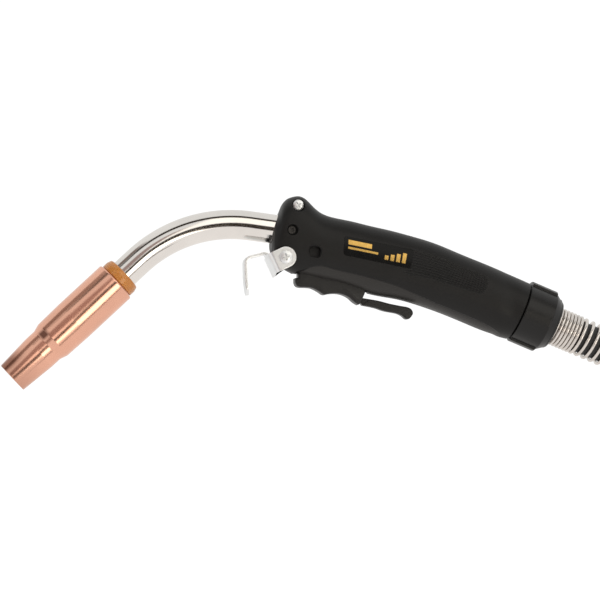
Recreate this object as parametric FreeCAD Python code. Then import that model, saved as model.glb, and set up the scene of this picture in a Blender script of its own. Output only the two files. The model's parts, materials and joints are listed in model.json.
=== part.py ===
import FreeCAD, Part
import math, os

# Air-cooled gooseneck welding torch.  Units mm, +Z up.
# Origin: centre of the contact tip's front face, where the wire leaves.
# +X runs from the nozzle towards the cable, Y = 0 is the split plane of the handle.
# The wire path has three straight legs joined by two bends: the nozzle axis, the
# tube's rear leg and the cable axis.

os.makedirs("parts", exist_ok=True)

Vector = FreeCAD.Vector
ORIGIN = Vector(0, 0, 0)

# ---------------------------------------------------------------- driving dimensions
NECK_ANGLE = 43.2          # nozzle axis above horizontal, degrees
BEND_START = 107.0         # tip face to the start of the neck bend
BEND_R = 89.0              # centre-line radius of the neck bend
REAR_ANGLE = -7.5          # tube direction after the bend
KNEE_R = 60.0              # centre-line radius of the bend inside the handle
CABLE_ANGLE = -22.6
REAR_AXIS_X, REAR_AXIS_Z = 328.0, 42.5   # point on the cable axis at the handle's end

TUBE_R = 9.525             # outer jacket, 3/4 in
JACKET_IN = 8.3
CORE_R = 6.5
CORE_IN = 4.5
LINER_R = 2.25
LINER_IN = 1.0
TUBE_END_X, CORE_END_X = 191.0, 205.0

CABLE_R, CABLE_COPPER_R = 10.5, 8.4
CABLE_HELD_R = 10.2        # sheath as squeezed under the spring
CABLE_FREE_FROM = 120.0    # where the sheath is free again
CABLE_TO = 160.0
HOSE_R, HOSE_IN = 4.0, 2.6

# places in the side view, (x, z)
LUG = (180.9, 109.5)
HOOK = (171.9, 75.4)
LOCK = (176.4, 93.2)
POCKET = (191.0, 79.0)
PIVOT = (186.0, 68.5)
PEGS = ((288.0, 43.2), (243.0, 58.2))
SWITCH_PINS = ((206.3, 67.2), (218.7, 67.2))

SCREW_R, SCREW_HOLE_R = 2.0, 2.05
HEX_NUT_WIDTH, HEX_NUT_HEIGHT = 7.0, 3.2   # width is across the flats


# ---------------------------------------------------------------- axes
def direction(angle):
    """Unit vector in the XZ plane, angle in degrees above +X."""
    turn = math.radians(angle)
    return Vector(math.cos(turn), 0, math.sin(turn))


def normal(along):
    """The XZ vector turned 90 degrees, from +X towards +Z."""
    return Vector(-along.z, 0, along.x)


def crossing(point_a, dir_a, point_b, dir_b):
    """Point where two lines in the XZ plane meet."""
    det = dir_a.x * (-dir_b.z) + dir_b.x * dir_a.z
    gap = point_b - point_a
    return point_a + dir_a * ((gap.x * (-dir_b.z) + dir_b.x * gap.z) / det)


NOZZLE_DIR = direction(NECK_ANGLE)
TUBE_DIR = direction(REAR_ANGLE)
TUBE_UP = normal(TUBE_DIR)
CABLE_DIR = direction(CABLE_ANGLE)
CABLE_UP = normal(CABLE_DIR)
CABLE_POINT = Vector(REAR_AXIS_X, 0, REAR_AXIS_Z)

NECK_IN = NOZZLE_DIR * BEND_START
NECK_CENTRE = NECK_IN - normal(NOZZLE_DIR) * BEND_R
NECK_OUT = NECK_CENTRE + TUBE_UP * BEND_R
KNEE = crossing(NECK_OUT, TUBE_DIR, CABLE_POINT, CABLE_DIR)
KNEE_TANGENT = KNEE_R * math.tan(math.radians(abs(CABLE_ANGLE - REAR_ANGLE)) / 2)
KNEE_IN = KNEE - TUBE_DIR * KNEE_TANGENT
KNEE_OUT = KNEE + CABLE_DIR * KNEE_TANGENT
KNEE_CENTRE = KNEE_IN - TUBE_UP * KNEE_R


def front(distance):
    """Point on the nozzle axis, measured from the tip face."""
    return NOZZLE_DIR * distance


def on_tube(x):
    """Point at x on the tube's rear leg."""
    return NECK_OUT + TUBE_DIR * ((x - NECK_OUT.x) / TUBE_DIR.x)


def rear(distance):
    """Point on the cable axis, measured from the handle's end."""
    return CABLE_POINT + CABLE_DIR * distance


# ---------------------------------------------------------------- helpers
def cylinder(radius, start, end):
    along = end.sub(start)
    return Part.makeCylinder(radius, along.Length, start, along)


def rear_cylinder(radius, start, end):
    """Cylinder on the cable axis between two distances."""
    return cylinder(radius, rear(start), rear(end))


def y_cylinder(radius, place, y_from, y_to):
    base = Vector(place[0], y_from, place[1])
    return Part.makeCylinder(radius, y_to - y_from, base, Vector(0, 1, 0))


def side_cylinder(radius, place, side, inner, outer):
    """Y cylinder on one side of the split plane; side is -1 or +1."""
    return y_cylinder(radius, place, min(side * inner, side * outer),
                      max(side * inner, side * outer))


def polygon_face(points):
    return Part.Face(Part.makePolygon(points + [points[0]]))


def revolved(profile, axis_point, axis_dir):
    """Solid of revolution.  profile rows are (distance along the axis, radius)."""
    out = normal(axis_dir)
    ring = [axis_point + axis_dir * along + out * radius for along, radius in profile]
    return polygon_face(ring).revolve(axis_point, axis_dir, 360)


def bend(radius, centre, bend_r, angle_from, angle_to):
    """Torus segment between two axis directions (degrees), centre below the path."""
    start_dir = direction(angle_from + 90)
    start = centre + start_dir * bend_r
    disc = Part.Face(Part.Wire(Part.makeCircle(radius, start, normal(start_dir))))
    return disc.revolve(centre, Vector(0, -1, 0), angle_to - angle_from)


def path_bar(radius, start, stop):
    """Round bar that follows the wire path between two stations.
    A station is ("front", distance), ("tube", x) or ("rear", distance);
    start is on the first two legs, stop on a later leg."""
    pieces = []
    if start[0] == "front":
        pieces.append(cylinder(radius, front(start[1]), NECK_IN))
        pieces.append(bend(radius, NECK_CENTRE, BEND_R, NECK_ANGLE, REAR_ANGLE))
        tube_start = NECK_OUT
    else:
        tube_start = on_tube(start[1])
    if stop[0] == "tube":
        pieces.append(cylinder(radius, tube_start, on_tube(stop[1])))
    else:
        pieces.append(cylinder(radius, tube_start, KNEE_IN))
        pieces.append(bend(radius, KNEE_CENTRE, KNEE_R, REAR_ANGLE, CABLE_ANGLE))
        pieces.append(cylinder(radius, KNEE_OUT, rear(stop[1])))
    bar = pieces[0]
    for piece in pieces[1:]:
        bar = bar.fuse(piece)
    return bar.removeSplitter()


def prism(outline, y_from, y_to, curved=0):
    """Side outline of (x, z) points extruded along Y.
    The first `curved` points are joined by one smooth curve."""
    points = [Vector(x, y_from, z) for x, z in outline]
    edges = []
    if curved:
        curve = Part.BSplineCurve()
        curve.interpolate(points[:curved])
        edges.append(curve.toShape())
    for i in range(max(curved - 1, 0), len(points)):
        edges.append(Part.makeLine(points[i], points[(i + 1) % len(points)]))
    return Part.Face(Part.Wire(edges)).extrude(Vector(0, y_to - y_from, 0))


def hexagon(width, place, y_from, y_to):
    """Hexagonal bar along Y, width across the flats."""
    radius = width / math.sqrt(3)
    points = []
    for k in range(6):
        turn = math.radians(60 * k + 30)
        points.append(Vector(place[0] + radius * math.cos(turn), y_from,
                             place[1] + radius * math.sin(turn)))
    return polygon_face(points).extrude(Vector(0, y_to - y_from, 0))


def round_bar(points, radius):
    """Round bar through the points, with a ball at each inner corner."""
    bar = None
    for start, end in zip(points, points[1:]):
        piece = cylinder(radius, start, end)
        bar = piece if bar is None else bar.fuse(piece)
    for point in points[1:-1]:
        bar = bar.fuse(Part.makeSphere(radius, point))
    return bar


def rounded(shape, edges, radius):
    # guards against a fillet that fails or finds no edge: the shape then stays sharp
    try:
        out = shape.makeFillet(radius, edges)
        if out.isValid() and out.Volume > 0.5 * shape.Volume:
            return out
    except Exception:
        pass
    return shape


def side_edges(shape, half_width):
    """Long edges lying flat in either side face of a prism."""
    return [e for e in shape.Edges
            if abs(abs(e.BoundBox.YMin) - half_width) < 1e-6
            and e.BoundBox.YLength < 1e-6 and e.Length > 30]


def biggest(shape):
    return sorted(shape.Solids, key=lambda s: -s.Volume)[0]


def one_solid(shape):
    """Merge split faces where that stays valid, then take the largest solid."""
    merged = shape.removeSplitter()
    if merged.isValid() or not shape.isValid():
        shape = merged
    return biggest(shape)


def save(name, shape):
    shape.exportStep("parts/" + name + ".step")


# ---------------------------------------------------------------- front end
# Profiles are (distance behind the tip face, radius).
WIRE_BORE_R = 0.65
TIP_R, TIP_REAR_R = 4.0, 3.0
TIP_PROFILE = [
    (0, WIRE_BORE_R), (0, 2.7), (0.4, 3.0), (6.0, TIP_R), (20.0, TIP_R), (20.0, 3.7),
    (24.0, 3.7), (24.0, TIP_R), (26.0, TIP_R), (26.0, TIP_REAR_R), (36.0, TIP_REAR_R),
    (36.0, 2.0), (33.0, WIRE_BORE_R)]

DIFFUSER_R = 9.0
DIFFUSER_PROFILE = [
    (26.1, TIP_REAR_R), (26.1, 6.2), (30.0, 8.0), (50.0, 8.0), (50.0, 7.4), (52.0, 7.4),
    (52.0, DIFFUSER_R), (70.0, DIFFUSER_R), (70.0, CORE_IN), (86.0, CORE_IN), (86.0, 2.7),
    (36.2, 2.7), (36.2, TIP_REAR_R)]
GAS_HOLES, GAS_HOLE_R, GAS_HOLE_START = 6, 1.3, 45.0
GAS_HOLE_LEAN = 0.35       # forward lean per unit outwards

NOZ_SLEEVE_R = 12.0
INSULATOR_PROFILE = [
    (53.0, DIFFUSER_R), (53.0, 11.2), (54.0, NOZ_SLEEVE_R), (87.75, NOZ_SLEEVE_R),
    (87.75, 12.3), (88.5, 12.75), (91.5, 12.75), (94.0, 12.1), (94.8, 11.3),
    (94.8, TUBE_R), (76.1, TUBE_R), (76.1, DIFFUSER_R)]

TIP_RECESS = 3.2           # nozzle mouth stands this far ahead of the tip
NOZ_REAR = 87.3
NOZ_MOUTH_R = 10.6
NOZ_NECK_R, NOZ_NECK_IN = 12.15, 9.2
NOZ_BARREL_R = 14.1
NOZ_BORE_R = 7.95
NOZ_SLEEVE_BORE_R = NOZ_SLEEVE_R + 0.05
NOZZLE_PROFILE = [
    (-TIP_RECESS, NOZ_BORE_R + 0.4), (-TIP_RECESS, NOZ_MOUTH_R - 0.5),
    (-TIP_RECESS + 0.5, NOZ_MOUTH_R), (20.3, NOZ_NECK_R), (26.9, NOZ_NECK_R),
    (27.6, NOZ_NECK_R + 0.15), (31.6, NOZ_BARREL_R - 0.15), (32.4, NOZ_BARREL_R),
    (NOZ_REAR - 1.2, NOZ_BARREL_R), (NOZ_REAR - 0.35, NOZ_BARREL_R - 0.35),
    (NOZ_REAR, NOZ_BARREL_R - 1.1), (NOZ_REAR, NOZ_SLEEVE_BORE_R + 0.4),
    (NOZ_REAR - 0.4, NOZ_SLEEVE_BORE_R), (37.0, NOZ_SLEEVE_BORE_R), (33.0, NOZ_NECK_IN),
    (20.0, NOZ_NECK_IN), (9.0, NOZ_BORE_R), (-TIP_RECESS + 0.4, NOZ_BORE_R)]


def gas_diffuser():
    diffuser = revolved(DIFFUSER_PROFILE, ORIGIN, NOZZLE_DIR)
    for k in range(GAS_HOLES):
        turn = math.radians(360 / GAS_HOLES * k + 30)
        outwards = normal(NOZZLE_DIR) * math.cos(turn) + Vector(0, 1, 0) * math.sin(turn)
        hole_dir = outwards - NOZZLE_DIR * GAS_HOLE_LEAN
        diffuser = diffuser.cut(
            Part.makeCylinder(GAS_HOLE_R, 14, front(GAS_HOLE_START), hole_dir))
    return one_solid(diffuser)


save("contact_tip", one_solid(revolved(TIP_PROFILE, ORIGIN, NOZZLE_DIR)))
save("gas_diffuser", gas_diffuser())
save("nozzle_insulator", one_solid(revolved(INSULATOR_PROFILE, ORIGIN, NOZZLE_DIR)))
save("nozzle", one_solid(revolved(NOZZLE_PROFILE, ORIGIN, NOZZLE_DIR)))


# ---------------------------------------------------------------- conductor tube
def tube_layer(outer_r, inner_r, start, end_x):
    layer = path_bar(outer_r, ("front", start), ("tube", end_x))
    return one_solid(layer.cut(path_bar(inner_r, ("front", 60), ("tube", 215))))


def wire_liner():
    liner = path_bar(LINER_R, ("front", 36.5), ("rear", CABLE_TO + 2.0))
    return one_solid(liner.cut(path_bar(LINER_IN, ("front", 30), ("rear", CABLE_TO + 5))))


save("tube_core", tube_layer(CORE_R, CORE_IN, 70.2, CORE_END_X))
save("tube_insulation", tube_layer(JACKET_IN, CORE_R, 76.2, TUBE_END_X))
save("tube_jacket", tube_layer(TUBE_R, JACKET_IN, 76.3, TUBE_END_X))
save("wire_liner", wire_liner())

# ---------------------------------------------------------------- power joint in the handle
CONNECTOR_R, CONNECTOR_FROM_X, CONNECTOR_TO = 8.5, 192.2, -93.0
CLAMP_X = (198.9, 203.0)   # the two screws that hold the tube core
CLAMP_SCREW_R = 1.65
SPIGOT_END_R = 6.0         # terminal's front end, inside the connector
CRIMP_R, CRIMP_FROM, CRIMP_TO = 9.4, -92.9, -72.0
CRIMP_GROOVES = (-85.5, -80.0)


def cable_connector():
    connector = path_bar(CONNECTOR_R, ("tube", CONNECTOR_FROM_X), ("rear", CONNECTOR_TO))
    connector = connector.cut(cylinder(CORE_R, on_tube(190), on_tube(CORE_END_X + 0.2)))
    connector = connector.cut(path_bar(3.4, ("tube", 195), ("rear", -80.0)))
    connector = connector.cut(rear_cylinder(SPIGOT_END_R, -105.0, -92.0))
    for x in CLAMP_X:
        connector = connector.cut(
            Part.makeCylinder(CLAMP_SCREW_R, 12, on_tube(x), TUBE_UP * -1))
    return one_solid(connector)


def connector_screw(x):
    centre = on_tube(x)
    down = TUBE_UP * -1
    screw = Part.makeCylinder(CLAMP_SCREW_R, 2.5, centre + down * (CORE_R + 0.02), down)
    return screw.cut(Part.makeCylinder(0.8, 1.2, centre + down * (CORE_R + 1.5), down))


def cable_terminal():
    terminal = rear_cylinder(SPIGOT_END_R, -104.8, CRIMP_FROM)
    terminal = terminal.fuse(rear_cylinder(CRIMP_R, CRIMP_FROM, CRIMP_TO))
    terminal = terminal.cut(rear_cylinder(CABLE_COPPER_R, -89.0, -71.0))
    terminal = terminal.cut(rear_cylinder(HOSE_IN + 0.2, -110.0, -80.0))
    for z in CRIMP_GROOVES:
        groove = [(z - 1.3, 9.5), (z - 0.8, 9.0), (z + 0.8, 9.0), (z + 1.3, 9.5)]
        terminal = terminal.cut(revolved(groove, CABLE_POINT, CABLE_DIR))
    return one_solid(terminal)


save("cable_connector", cable_connector())
for k, clamp_x in enumerate(CLAMP_X):
    save("connector_screw_%d" % (k + 1), connector_screw(clamp_x))
save("cable_terminal", cable_terminal())

# ---------------------------------------------------------------- cable
LEAD_R = 0.85
LEAD_DEPTH = 6.9           # leads below the cable axis, among the strands
LEAD_Y = 1.7
CABLE_CUT_TO = CABLE_TO + 9   # cutters run past the cable's end


def below_axis(distance, depth):
    return rear(distance) - CABLE_UP * depth


def shifted(points, y):
    return [point + Vector(0, y, 0) for point in points]


# centre line of the trigger leads: under the crimp, then into the strands
LEAD_RUN = [below_axis(-88.0, 10.8), below_axis(-71.0, 10.5), below_axis(-60.0, LEAD_DEPTH),
            below_axis(CABLE_TO + 3.0, LEAD_DEPTH)]


def cable_conductor():
    conductor = rear_cylinder(CABLE_COPPER_R, -88.8, CABLE_TO + 1.2)
    conductor = conductor.cut(rear_cylinder(HOSE_R, -95, CABLE_CUT_TO))
    groove = LEAD_RUN[1:3] + [below_axis(CABLE_CUT_TO, LEAD_DEPTH)]
    for side in (-1, 1):
        conductor = conductor.cut(round_bar(shifted(groove, side * LEAD_Y), LEAD_R + 0.1))
    return one_solid(conductor)


def gas_hose():
    hose = rear_cylinder(HOSE_R, -88.6, CABLE_TO + 1.6)
    return one_solid(hose.cut(rear_cylinder(HOSE_IN, -95, CABLE_CUT_TO)))


def cable_jacket():
    jacket = rear_cylinder(CABLE_HELD_R, -58.0, CABLE_FREE_FROM)
    jacket = jacket.fuse(rear_cylinder(CABLE_R, CABLE_FREE_FROM, CABLE_TO))
    return one_solid(jacket.cut(rear_cylinder(CABLE_COPPER_R, -70, CABLE_CUT_TO)))


save("cable_conductor", cable_conductor())
save("gas_hose", gas_hose())
save("cable_jacket", cable_jacket())

# ---------------------------------------------------------------- strain relief
# Profiles are (distance along the cable axis, radius).
GLAND_R = 12.0
FLANGE_R, FLANGE_FROM, FLANGE_TO = 15.3, 13.2, 15.4
GLAND_PROFILE = [
    (-14.0, CABLE_HELD_R), (-14.0, 11.3), (-13.3, GLAND_R), (FLANGE_FROM, GLAND_R),
    (FLANGE_FROM, FLANGE_R), (FLANGE_TO, FLANGE_R), (FLANGE_TO, CABLE_HELD_R)]

SPIGOT_R, SPIGOT_LEN = 15.6, 13.0
NUT_FROM, NUT_CONE, NUT_TO = 0.7, 19.3, 25.3
NUT_R, NUT_PAD_R = 19.7, 21.1
NUT_BORE_R, NUT_MOUTH_R = SPIGOT_R + 0.05, 13.2
NUT_PROFILE = [
    (NUT_FROM, NUT_BORE_R), (NUT_FROM, NUT_R - 0.5), (NUT_FROM + 0.5, NUT_R),
    (NUT_CONE, NUT_R), (23.6, 16.6), (24.6, 16.2), (NUT_TO, 15.4), (NUT_TO, NUT_MOUTH_R),
    (15.6, NUT_MOUTH_R), (15.6, NUT_BORE_R)]
PAD_PROFILE = [
    (NUT_FROM + 0.2, NUT_R - 1.0), (NUT_FROM + 0.2, NUT_PAD_R - 0.3),
    (NUT_FROM + 0.5, NUT_PAD_R), (NUT_CONE - 0.7, NUT_PAD_R),
    (NUT_CONE - 0.3, NUT_PAD_R - 0.4), (NUT_CONE - 0.3, NUT_R - 1.0)]
PAD_HALF = NUT_R * math.sin(math.radians(20.0))
PAD_TURN = -6.0            # the pads sit turned this much about the cable axis, degrees

SPRING_MEAN_R, SPRING_WIRE_R = 11.85, 1.1
SPRING_TO = 116.0
CLOSE_PITCH, OPEN_PITCH = 2.42, 5.0
CLOSE_TO, OPENING_LEN = 40.0, 6.0   # close-wound up to here, then opening out
POINTS_PER_TURN = 24


def rear_nut():
    """Cone-backed nut with two opposite grip pads with straight flanks."""
    nut = revolved(NUT_PROFILE, CABLE_POINT, CABLE_DIR)
    pad_ring = revolved(PAD_PROFILE, CABLE_POINT, CABLE_DIR)
    bar = Part.makeBox(30, 2 * PAD_HALF, 2 * NUT_PAD_R + 4,
                       Vector(NUT_FROM - 2, -PAD_HALF, -NUT_PAD_R - 2))
    bar.rotate(ORIGIN, Vector(1, 0, 0), PAD_TURN)
    bar.rotate(ORIGIN, Vector(0, 1, 0), -CABLE_ANGLE)
    bar.translate(CABLE_POINT)
    return nut.fuse(bar.common(pad_ring))


def strain_spring():
    """Coil, close-wound near the nut and open-wound further back."""
    points = []
    distance, angle = FLANGE_TO + 1.25, 0.0
    while distance < SPRING_TO:
        if distance < CLOSE_TO:
            pitch = CLOSE_PITCH
        elif distance < CLOSE_TO + OPENING_LEN:
            opened = (OPEN_PITCH - CLOSE_PITCH) * (distance - CLOSE_TO) / OPENING_LEN
            pitch = CLOSE_PITCH + opened
        else:
            pitch = OPEN_PITCH
        turn = math.radians(angle)
        points.append(rear(distance) + CABLE_UP * (SPRING_MEAN_R * math.cos(turn))
                      + Vector(0, SPRING_MEAN_R * math.sin(turn), 0))
        distance += pitch / POINTS_PER_TURN
        angle += 360.0 / POINTS_PER_TURN
    coil = Part.BSplineCurve()
    coil.interpolate(points)
    spine = Part.Wire([coil.toShape()])
    tangent = coil.tangent(coil.FirstParameter)[0]
    circle = Part.Wire([Part.makeCircle(SPRING_WIRE_R, points[0], tangent)])
    return spine.makePipeShell([circle], True, True)


save("cable_gland", one_solid(revolved(GLAND_PROFILE, CABLE_POINT, CABLE_DIR)))
save("rear_nut", rear_nut())
save("strain_spring", strain_spring())

# ---------------------------------------------------------------- handle
# Sections from the nozzle end to the cable end:
# top point (x, z), bottom point (x, z), half width, exponent of the superellipse
OUTER_SECTIONS = [
    ((165.0, 95.5), (164.5, 78.3), 12.0, 2.5),
    ((165.7, 98.6), (164.9, 76.2), 13.3, 2.5),
    ((167.2, 101.6), (165.8, 74.4), 14.4, 2.45),
    ((168.9, 104.8), (167.0, 72.9), 15.1, 2.4),
    ((171.0, 110.0), (169.2, 70.6), 15.8, 2.4),
    ((174.1, 113.9), (172.6, 68.4), 16.3, 2.4),
    ((178.0, 115.6), (176.6, 66.2), 16.6, 2.4),
    ((182.4, 116.1), (181.0, 64.3), 16.8, 2.4),
    ((186.4, 114.3), (185.6, 63.2), 16.9, 2.4),
    ((190.2, 110.6), (190.2, 62.2), 17.0, 2.4),
    ((194.6, 106.6), (194.6, 61.3), 17.1, 2.4),
    ((199.6, 103.9), (199.4, 60.3), 17.2, 2.4),
    ((206.6, 102.0), (205.4, 59.2), 17.3, 2.4),
    ((216.0, 100.2), (213.5, 57.0), 17.5, 2.4),
    ((227.4, 97.5), (223.1, 53.5), 17.6, 2.4),
    ((240.4, 94.7), (234.4, 50.7), 17.8, 2.4),
    ((255.0, 91.0), (246.8, 48.6), 18.0, 2.4),
    ((271.0, 86.3), (260.4, 44.9), 18.2, 2.4),
    ((287.6, 79.7), (275.2, 39.8), 18.5, 2.3),
    ((304.4, 73.1), (291.0, 33.5), 18.8, 2.25),
    ((320.4, 66.5), (306.2, 27.5), 19.2, 2.15),
    ((334.9, 60.2), (319.6, 23.8), 19.5, 2.1),
]
CAVITY_SECTIONS = [
    ((191.0, 101.0), (191.0, 66.5), 12.6, 2.4),
    ((194.0, 102.0), (194.0, 64.6), 14.0, 2.4),
    ((199.6, 101.1), (199.4, 63.0), 14.6, 2.4),
    ((206.6, 99.3), (205.4, 61.9), 14.7, 2.4),
    ((216.0, 97.5), (213.6, 60.3), 14.9, 2.4),
    ((227.4, 94.8), (223.4, 57.4), 15.0, 2.4),
    ((240.0, 92.0), (234.9, 54.3), 15.2, 2.4),
    ((254.4, 88.3), (247.5, 51.9), 15.4, 2.4),
    ((270.2, 83.7), (261.3, 48.1), 15.6, 2.4),
    ((286.7, 77.2), (276.3, 42.9), 15.9, 2.3),
    ((303.5, 70.6), (292.1, 36.6), 16.2, 2.25),
    ((316.8, 64.9), (303.8, 31.8), 16.5, 2.15),
    ((326.6, 60.2), (313.4, 28.4), 16.6, 2.1),
]
SECTION_POINTS = 28
# crease line above the underside band, (x, z)
CREASE = [
    (171.0, 63.9), (176.4, 65.1), (184.0, 67.4), (191.0, 69.9), (196.0, 70.0),
    (204.0, 68.0), (218.7, 64.7), (233.3, 60.9), (243.5, 57.8), (251.7, 54.6),
    (270.0, 46.6), (288.6, 39.2), (303.3, 32.9), (316.0, 25.5)]
BAND_INSET = 0.7
UPRIGHT_RIBS = ((193.0, 2.4), (213.5, 2.2))   # x, thickness
LEANING_RIBS_X = (233.0, 262.0, 290.0)        # square to the cable axis
TRIGGER_SLOT = [(180.4, 45.0), (180.4, 72.8), (191.5, 72.8), (202.0, 66.0),
                (227.6, 62.5), (227.6, 45.0)]
SLOT_HALF = 6.9
WIRING_RELIEF = [(222.5, 72.0), (222.5, 63.0), (257.0, 58.4), (274.0, 52.5),
                 (276.0, 60.0), (258.0, 68.0)]
PIN_R, PIN_HALF_LEN = 1.5, 8.9                # trigger pin
LOCK_R = 2.4
LUG_HEAD_Y, LUG_NUT_Y = -8.4, 9.0
SEAM = 0.02                                   # each half stops this far from Y = 0


def section(top_xz, bottom_xz, half_width, exponent, grow):
    top = Vector(top_xz[0], 0, top_xz[1])
    bottom = Vector(bottom_xz[0], 0, bottom_xz[1])
    up = top - bottom
    half_height = up.Length / 2 + grow
    up.normalize()
    centre = (top + bottom) * 0.5
    half_width = half_width + grow
    points = []
    for k in range(SECTION_POINTS):
        turn = 2 * math.pi * (k + 0.5) / SECTION_POINTS
        across, rise = -math.cos(turn), math.sin(turn)
        reach = (abs(across / half_width) ** exponent
                 + abs(rise / half_height) ** exponent) ** (-1 / exponent)
        points.append(centre + up * (reach * rise) + Vector(0, reach * across, 0))
    curve = Part.BSplineCurve()
    curve.interpolate(points, PeriodicFlag=True)
    return Part.Wire([curve.toShape()])


def lofted(rows, grow=0.0):
    return Part.makeLoft([section(*row, grow) for row in rows], True, False).Solids[0]


def handle_hollow():
    """The cavity less the ribs and posts left standing in it."""
    standing = []
    for x, thick in UPRIGHT_RIBS:
        standing.append(Part.makeBox(thick, 60, 26, Vector(x, -30, 78.0)))
    for x in LEANING_RIBS_X:
        rib = Part.makeBox(2.0, 60, 80, Vector(0, -30, -40))
        rib.rotate(ORIGIN, Vector(0, 1, 0), -CABLE_ANGLE)
        axis_z = REAR_AXIS_Z + (x - REAR_AXIS_X) * math.tan(math.radians(CABLE_ANGLE))
        rib.translate(Vector(x, 0, axis_z))
        standing.append(rib)
    for side in (-1, 1):
        standing.append(side_cylinder(5.4, POCKET, side, 9.7, 18))
    for peg in PEGS:
        standing.append(y_cylinder(3.4, peg, -25, 25))
    for pin in SWITCH_PINS:
        for side in (-1, 1):
            standing.append(side_cylinder(2.4, pin, side, 3.3, 20))
        standing.append(y_cylinder(1.15, pin, -4.0, 3.0))
    hollow = lofted(CAVITY_SECTIONS)
    for piece in standing:
        hollow = hollow.cut(piece)
    return hollow


def handle_shell(outer):
    # underside band: set in slightly below the crease line
    under = prism(CREASE + [(316.0, 10.0), (171.0, 10.0)], -25, 25, curved=len(CREASE))
    inset = lofted(OUTER_SECTIONS, grow=-BAND_INSET)
    shell = outer.cut(outer.common(under).cut(inset))
    # bosses for the hanger strap, spigot for the rear nut
    shell = shell.fuse(y_cylinder(7.0, HOOK, -16.0, 16.0))
    shell = shell.fuse(rear_cylinder(SPIGOT_R, -6.0, SPIGOT_LEN))
    shell = shell.cut(handle_hollow())
    # bores along the wire path
    shell = shell.cut(cylinder(TUBE_R, on_tube(160.0), on_tube(193.5)))
    shell = shell.cut(path_bar(CONNECTOR_R + 0.15, ("tube", 191.5), ("rear", -92.0)))
    shell = shell.cut(rear_cylinder(CRIMP_R + 0.1, -93.2, -70.0))
    shell = shell.cut(rear_cylinder(10.55, -72.0, -10.0))
    shell = shell.cut(rear_cylinder(GLAND_R + 0.05, -15.0, 20.0))
    # lock screw hole and side pockets
    shell = shell.cut(y_cylinder(2.9, LOCK, -30, -12.9))
    shell = shell.cut(y_cylinder(LOCK_R, LOCK, -13.5, -5))
    for side in (-1, 1):
        shell = shell.cut(side_cylinder(3.7, POCKET, side, 11.2, 30))
    # trigger slot and pivot
    shell = shell.cut(prism(TRIGGER_SLOT, -SLOT_HALF, SLOT_HALF))
    shell = shell.cut(y_cylinder(PIN_R, PIVOT, -9.0, 9.0))
    # screws
    shell = shell.cut(y_cylinder(4.7, LUG, -25, LUG_HEAD_Y))
    shell = shell.cut(y_cylinder(SCREW_HOLE_R, LUG, -25, 25))
    shell = shell.cut(hexagon(HEX_NUT_WIDTH + 0.1, LUG, LUG_NUT_Y, 25))
    shell = shell.cut(y_cylinder(SCREW_HOLE_R, HOOK, -25, 25))
    return shell.cut(prism(WIRING_RELIEF, -4.0, 4.0))


def handle_halves(shell):
    """Near half (-Y) carries the pegs, far half (+Y) their holes."""
    near_tool = Part.makeBox(300, 40 - SEAM, 200, Vector(100, -40, -20))
    far_tool = Part.makeBox(300, 40 - SEAM, 200, Vector(100, SEAM, -20))
    # places, radius, peg end, hole end
    for places, radius, peg_y, hole_y in ((PEGS, 1.5, 3.0, 3.2),
                                          (SWITCH_PINS, 1.3, 3.1, 3.15)):
        for place in places:
            near_tool = near_tool.fuse(y_cylinder(radius, place, -1.0, peg_y))
            far_tool = far_tool.cut(y_cylinder(radius, place, -1.0, hole_y))
    return biggest(shell.common(near_tool)), biggest(shell.common(far_tool))


handle_outer = lofted(OUTER_SECTIONS)
near_half, far_half = handle_halves(handle_shell(handle_outer))
save("handle_near", near_half)
save("handle_far", far_half)

# ---------------------------------------------------------------- screws and nuts
EAR_IN, EAR_T = 16.05, 1.6   # hanger strap ears: inner face from Y = 0, thickness
EAR_OUT = EAR_IN + EAR_T


def pan_screw(place, y_seat, head_r, head_h, y_end):
    """Cross-recessed screw along +Y, head on the -Y side of its seat."""
    x, z = place
    y_top = y_seat - head_h
    head = Part.makeCylinder(head_r, head_h, Vector(x, y_seat, z), Vector(0, -1, 0))
    rim = [e for e in head.Edges
           if abs(e.CenterOfMass.y - y_top) < 1e-6 and e.Length > 1
           and abs(e.BoundBox.YLength) < 1e-6]
    head = rounded(head, rim[:1], 0.9)
    screw = head.fuse(y_cylinder(SCREW_R, place, y_seat, y_end))
    length, depth, width = head_r * 1.15, head_h * 0.6, 0.8
    cross = Part.makeBox(length, depth, width, Vector(x - length / 2, y_top, z - width / 2))
    cross = cross.fuse(
        Part.makeBox(width, depth, length, Vector(x - width / 2, y_top, z - length / 2)))
    return one_solid(screw.cut(cross))


def hex_nut(place, y_seat):
    nut = hexagon(HEX_NUT_WIDTH, place, y_seat, y_seat + HEX_NUT_HEIGHT)
    return one_solid(nut.cut(y_cylinder(SCREW_R, place, 0, 30)))


def tube_lock_screw():
    screw = y_cylinder(LOCK_R, LOCK, -13.2, -TUBE_R - 0.01)
    return one_solid(screw.cut(hexagon(2.5, LOCK, -13.3, -11.4)))


save("lug_screw", pan_screw(LUG, LUG_HEAD_Y, head_r=3.7, head_h=2.2, y_end=12.4))
save("lug_nut", hex_nut(LUG, LUG_NUT_Y))
save("hook_screw", pan_screw(HOOK, -EAR_OUT, head_r=4.1, head_h=2.3, y_end=21.6))
save("hook_nut", hex_nut(HOOK, EAR_OUT))
save("tube_lock_screw", tube_lock_screw())
save("trigger_pin", y_cylinder(PIN_R, PIVOT, -PIN_HALF_LEN, PIN_HALF_LEN))

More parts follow.
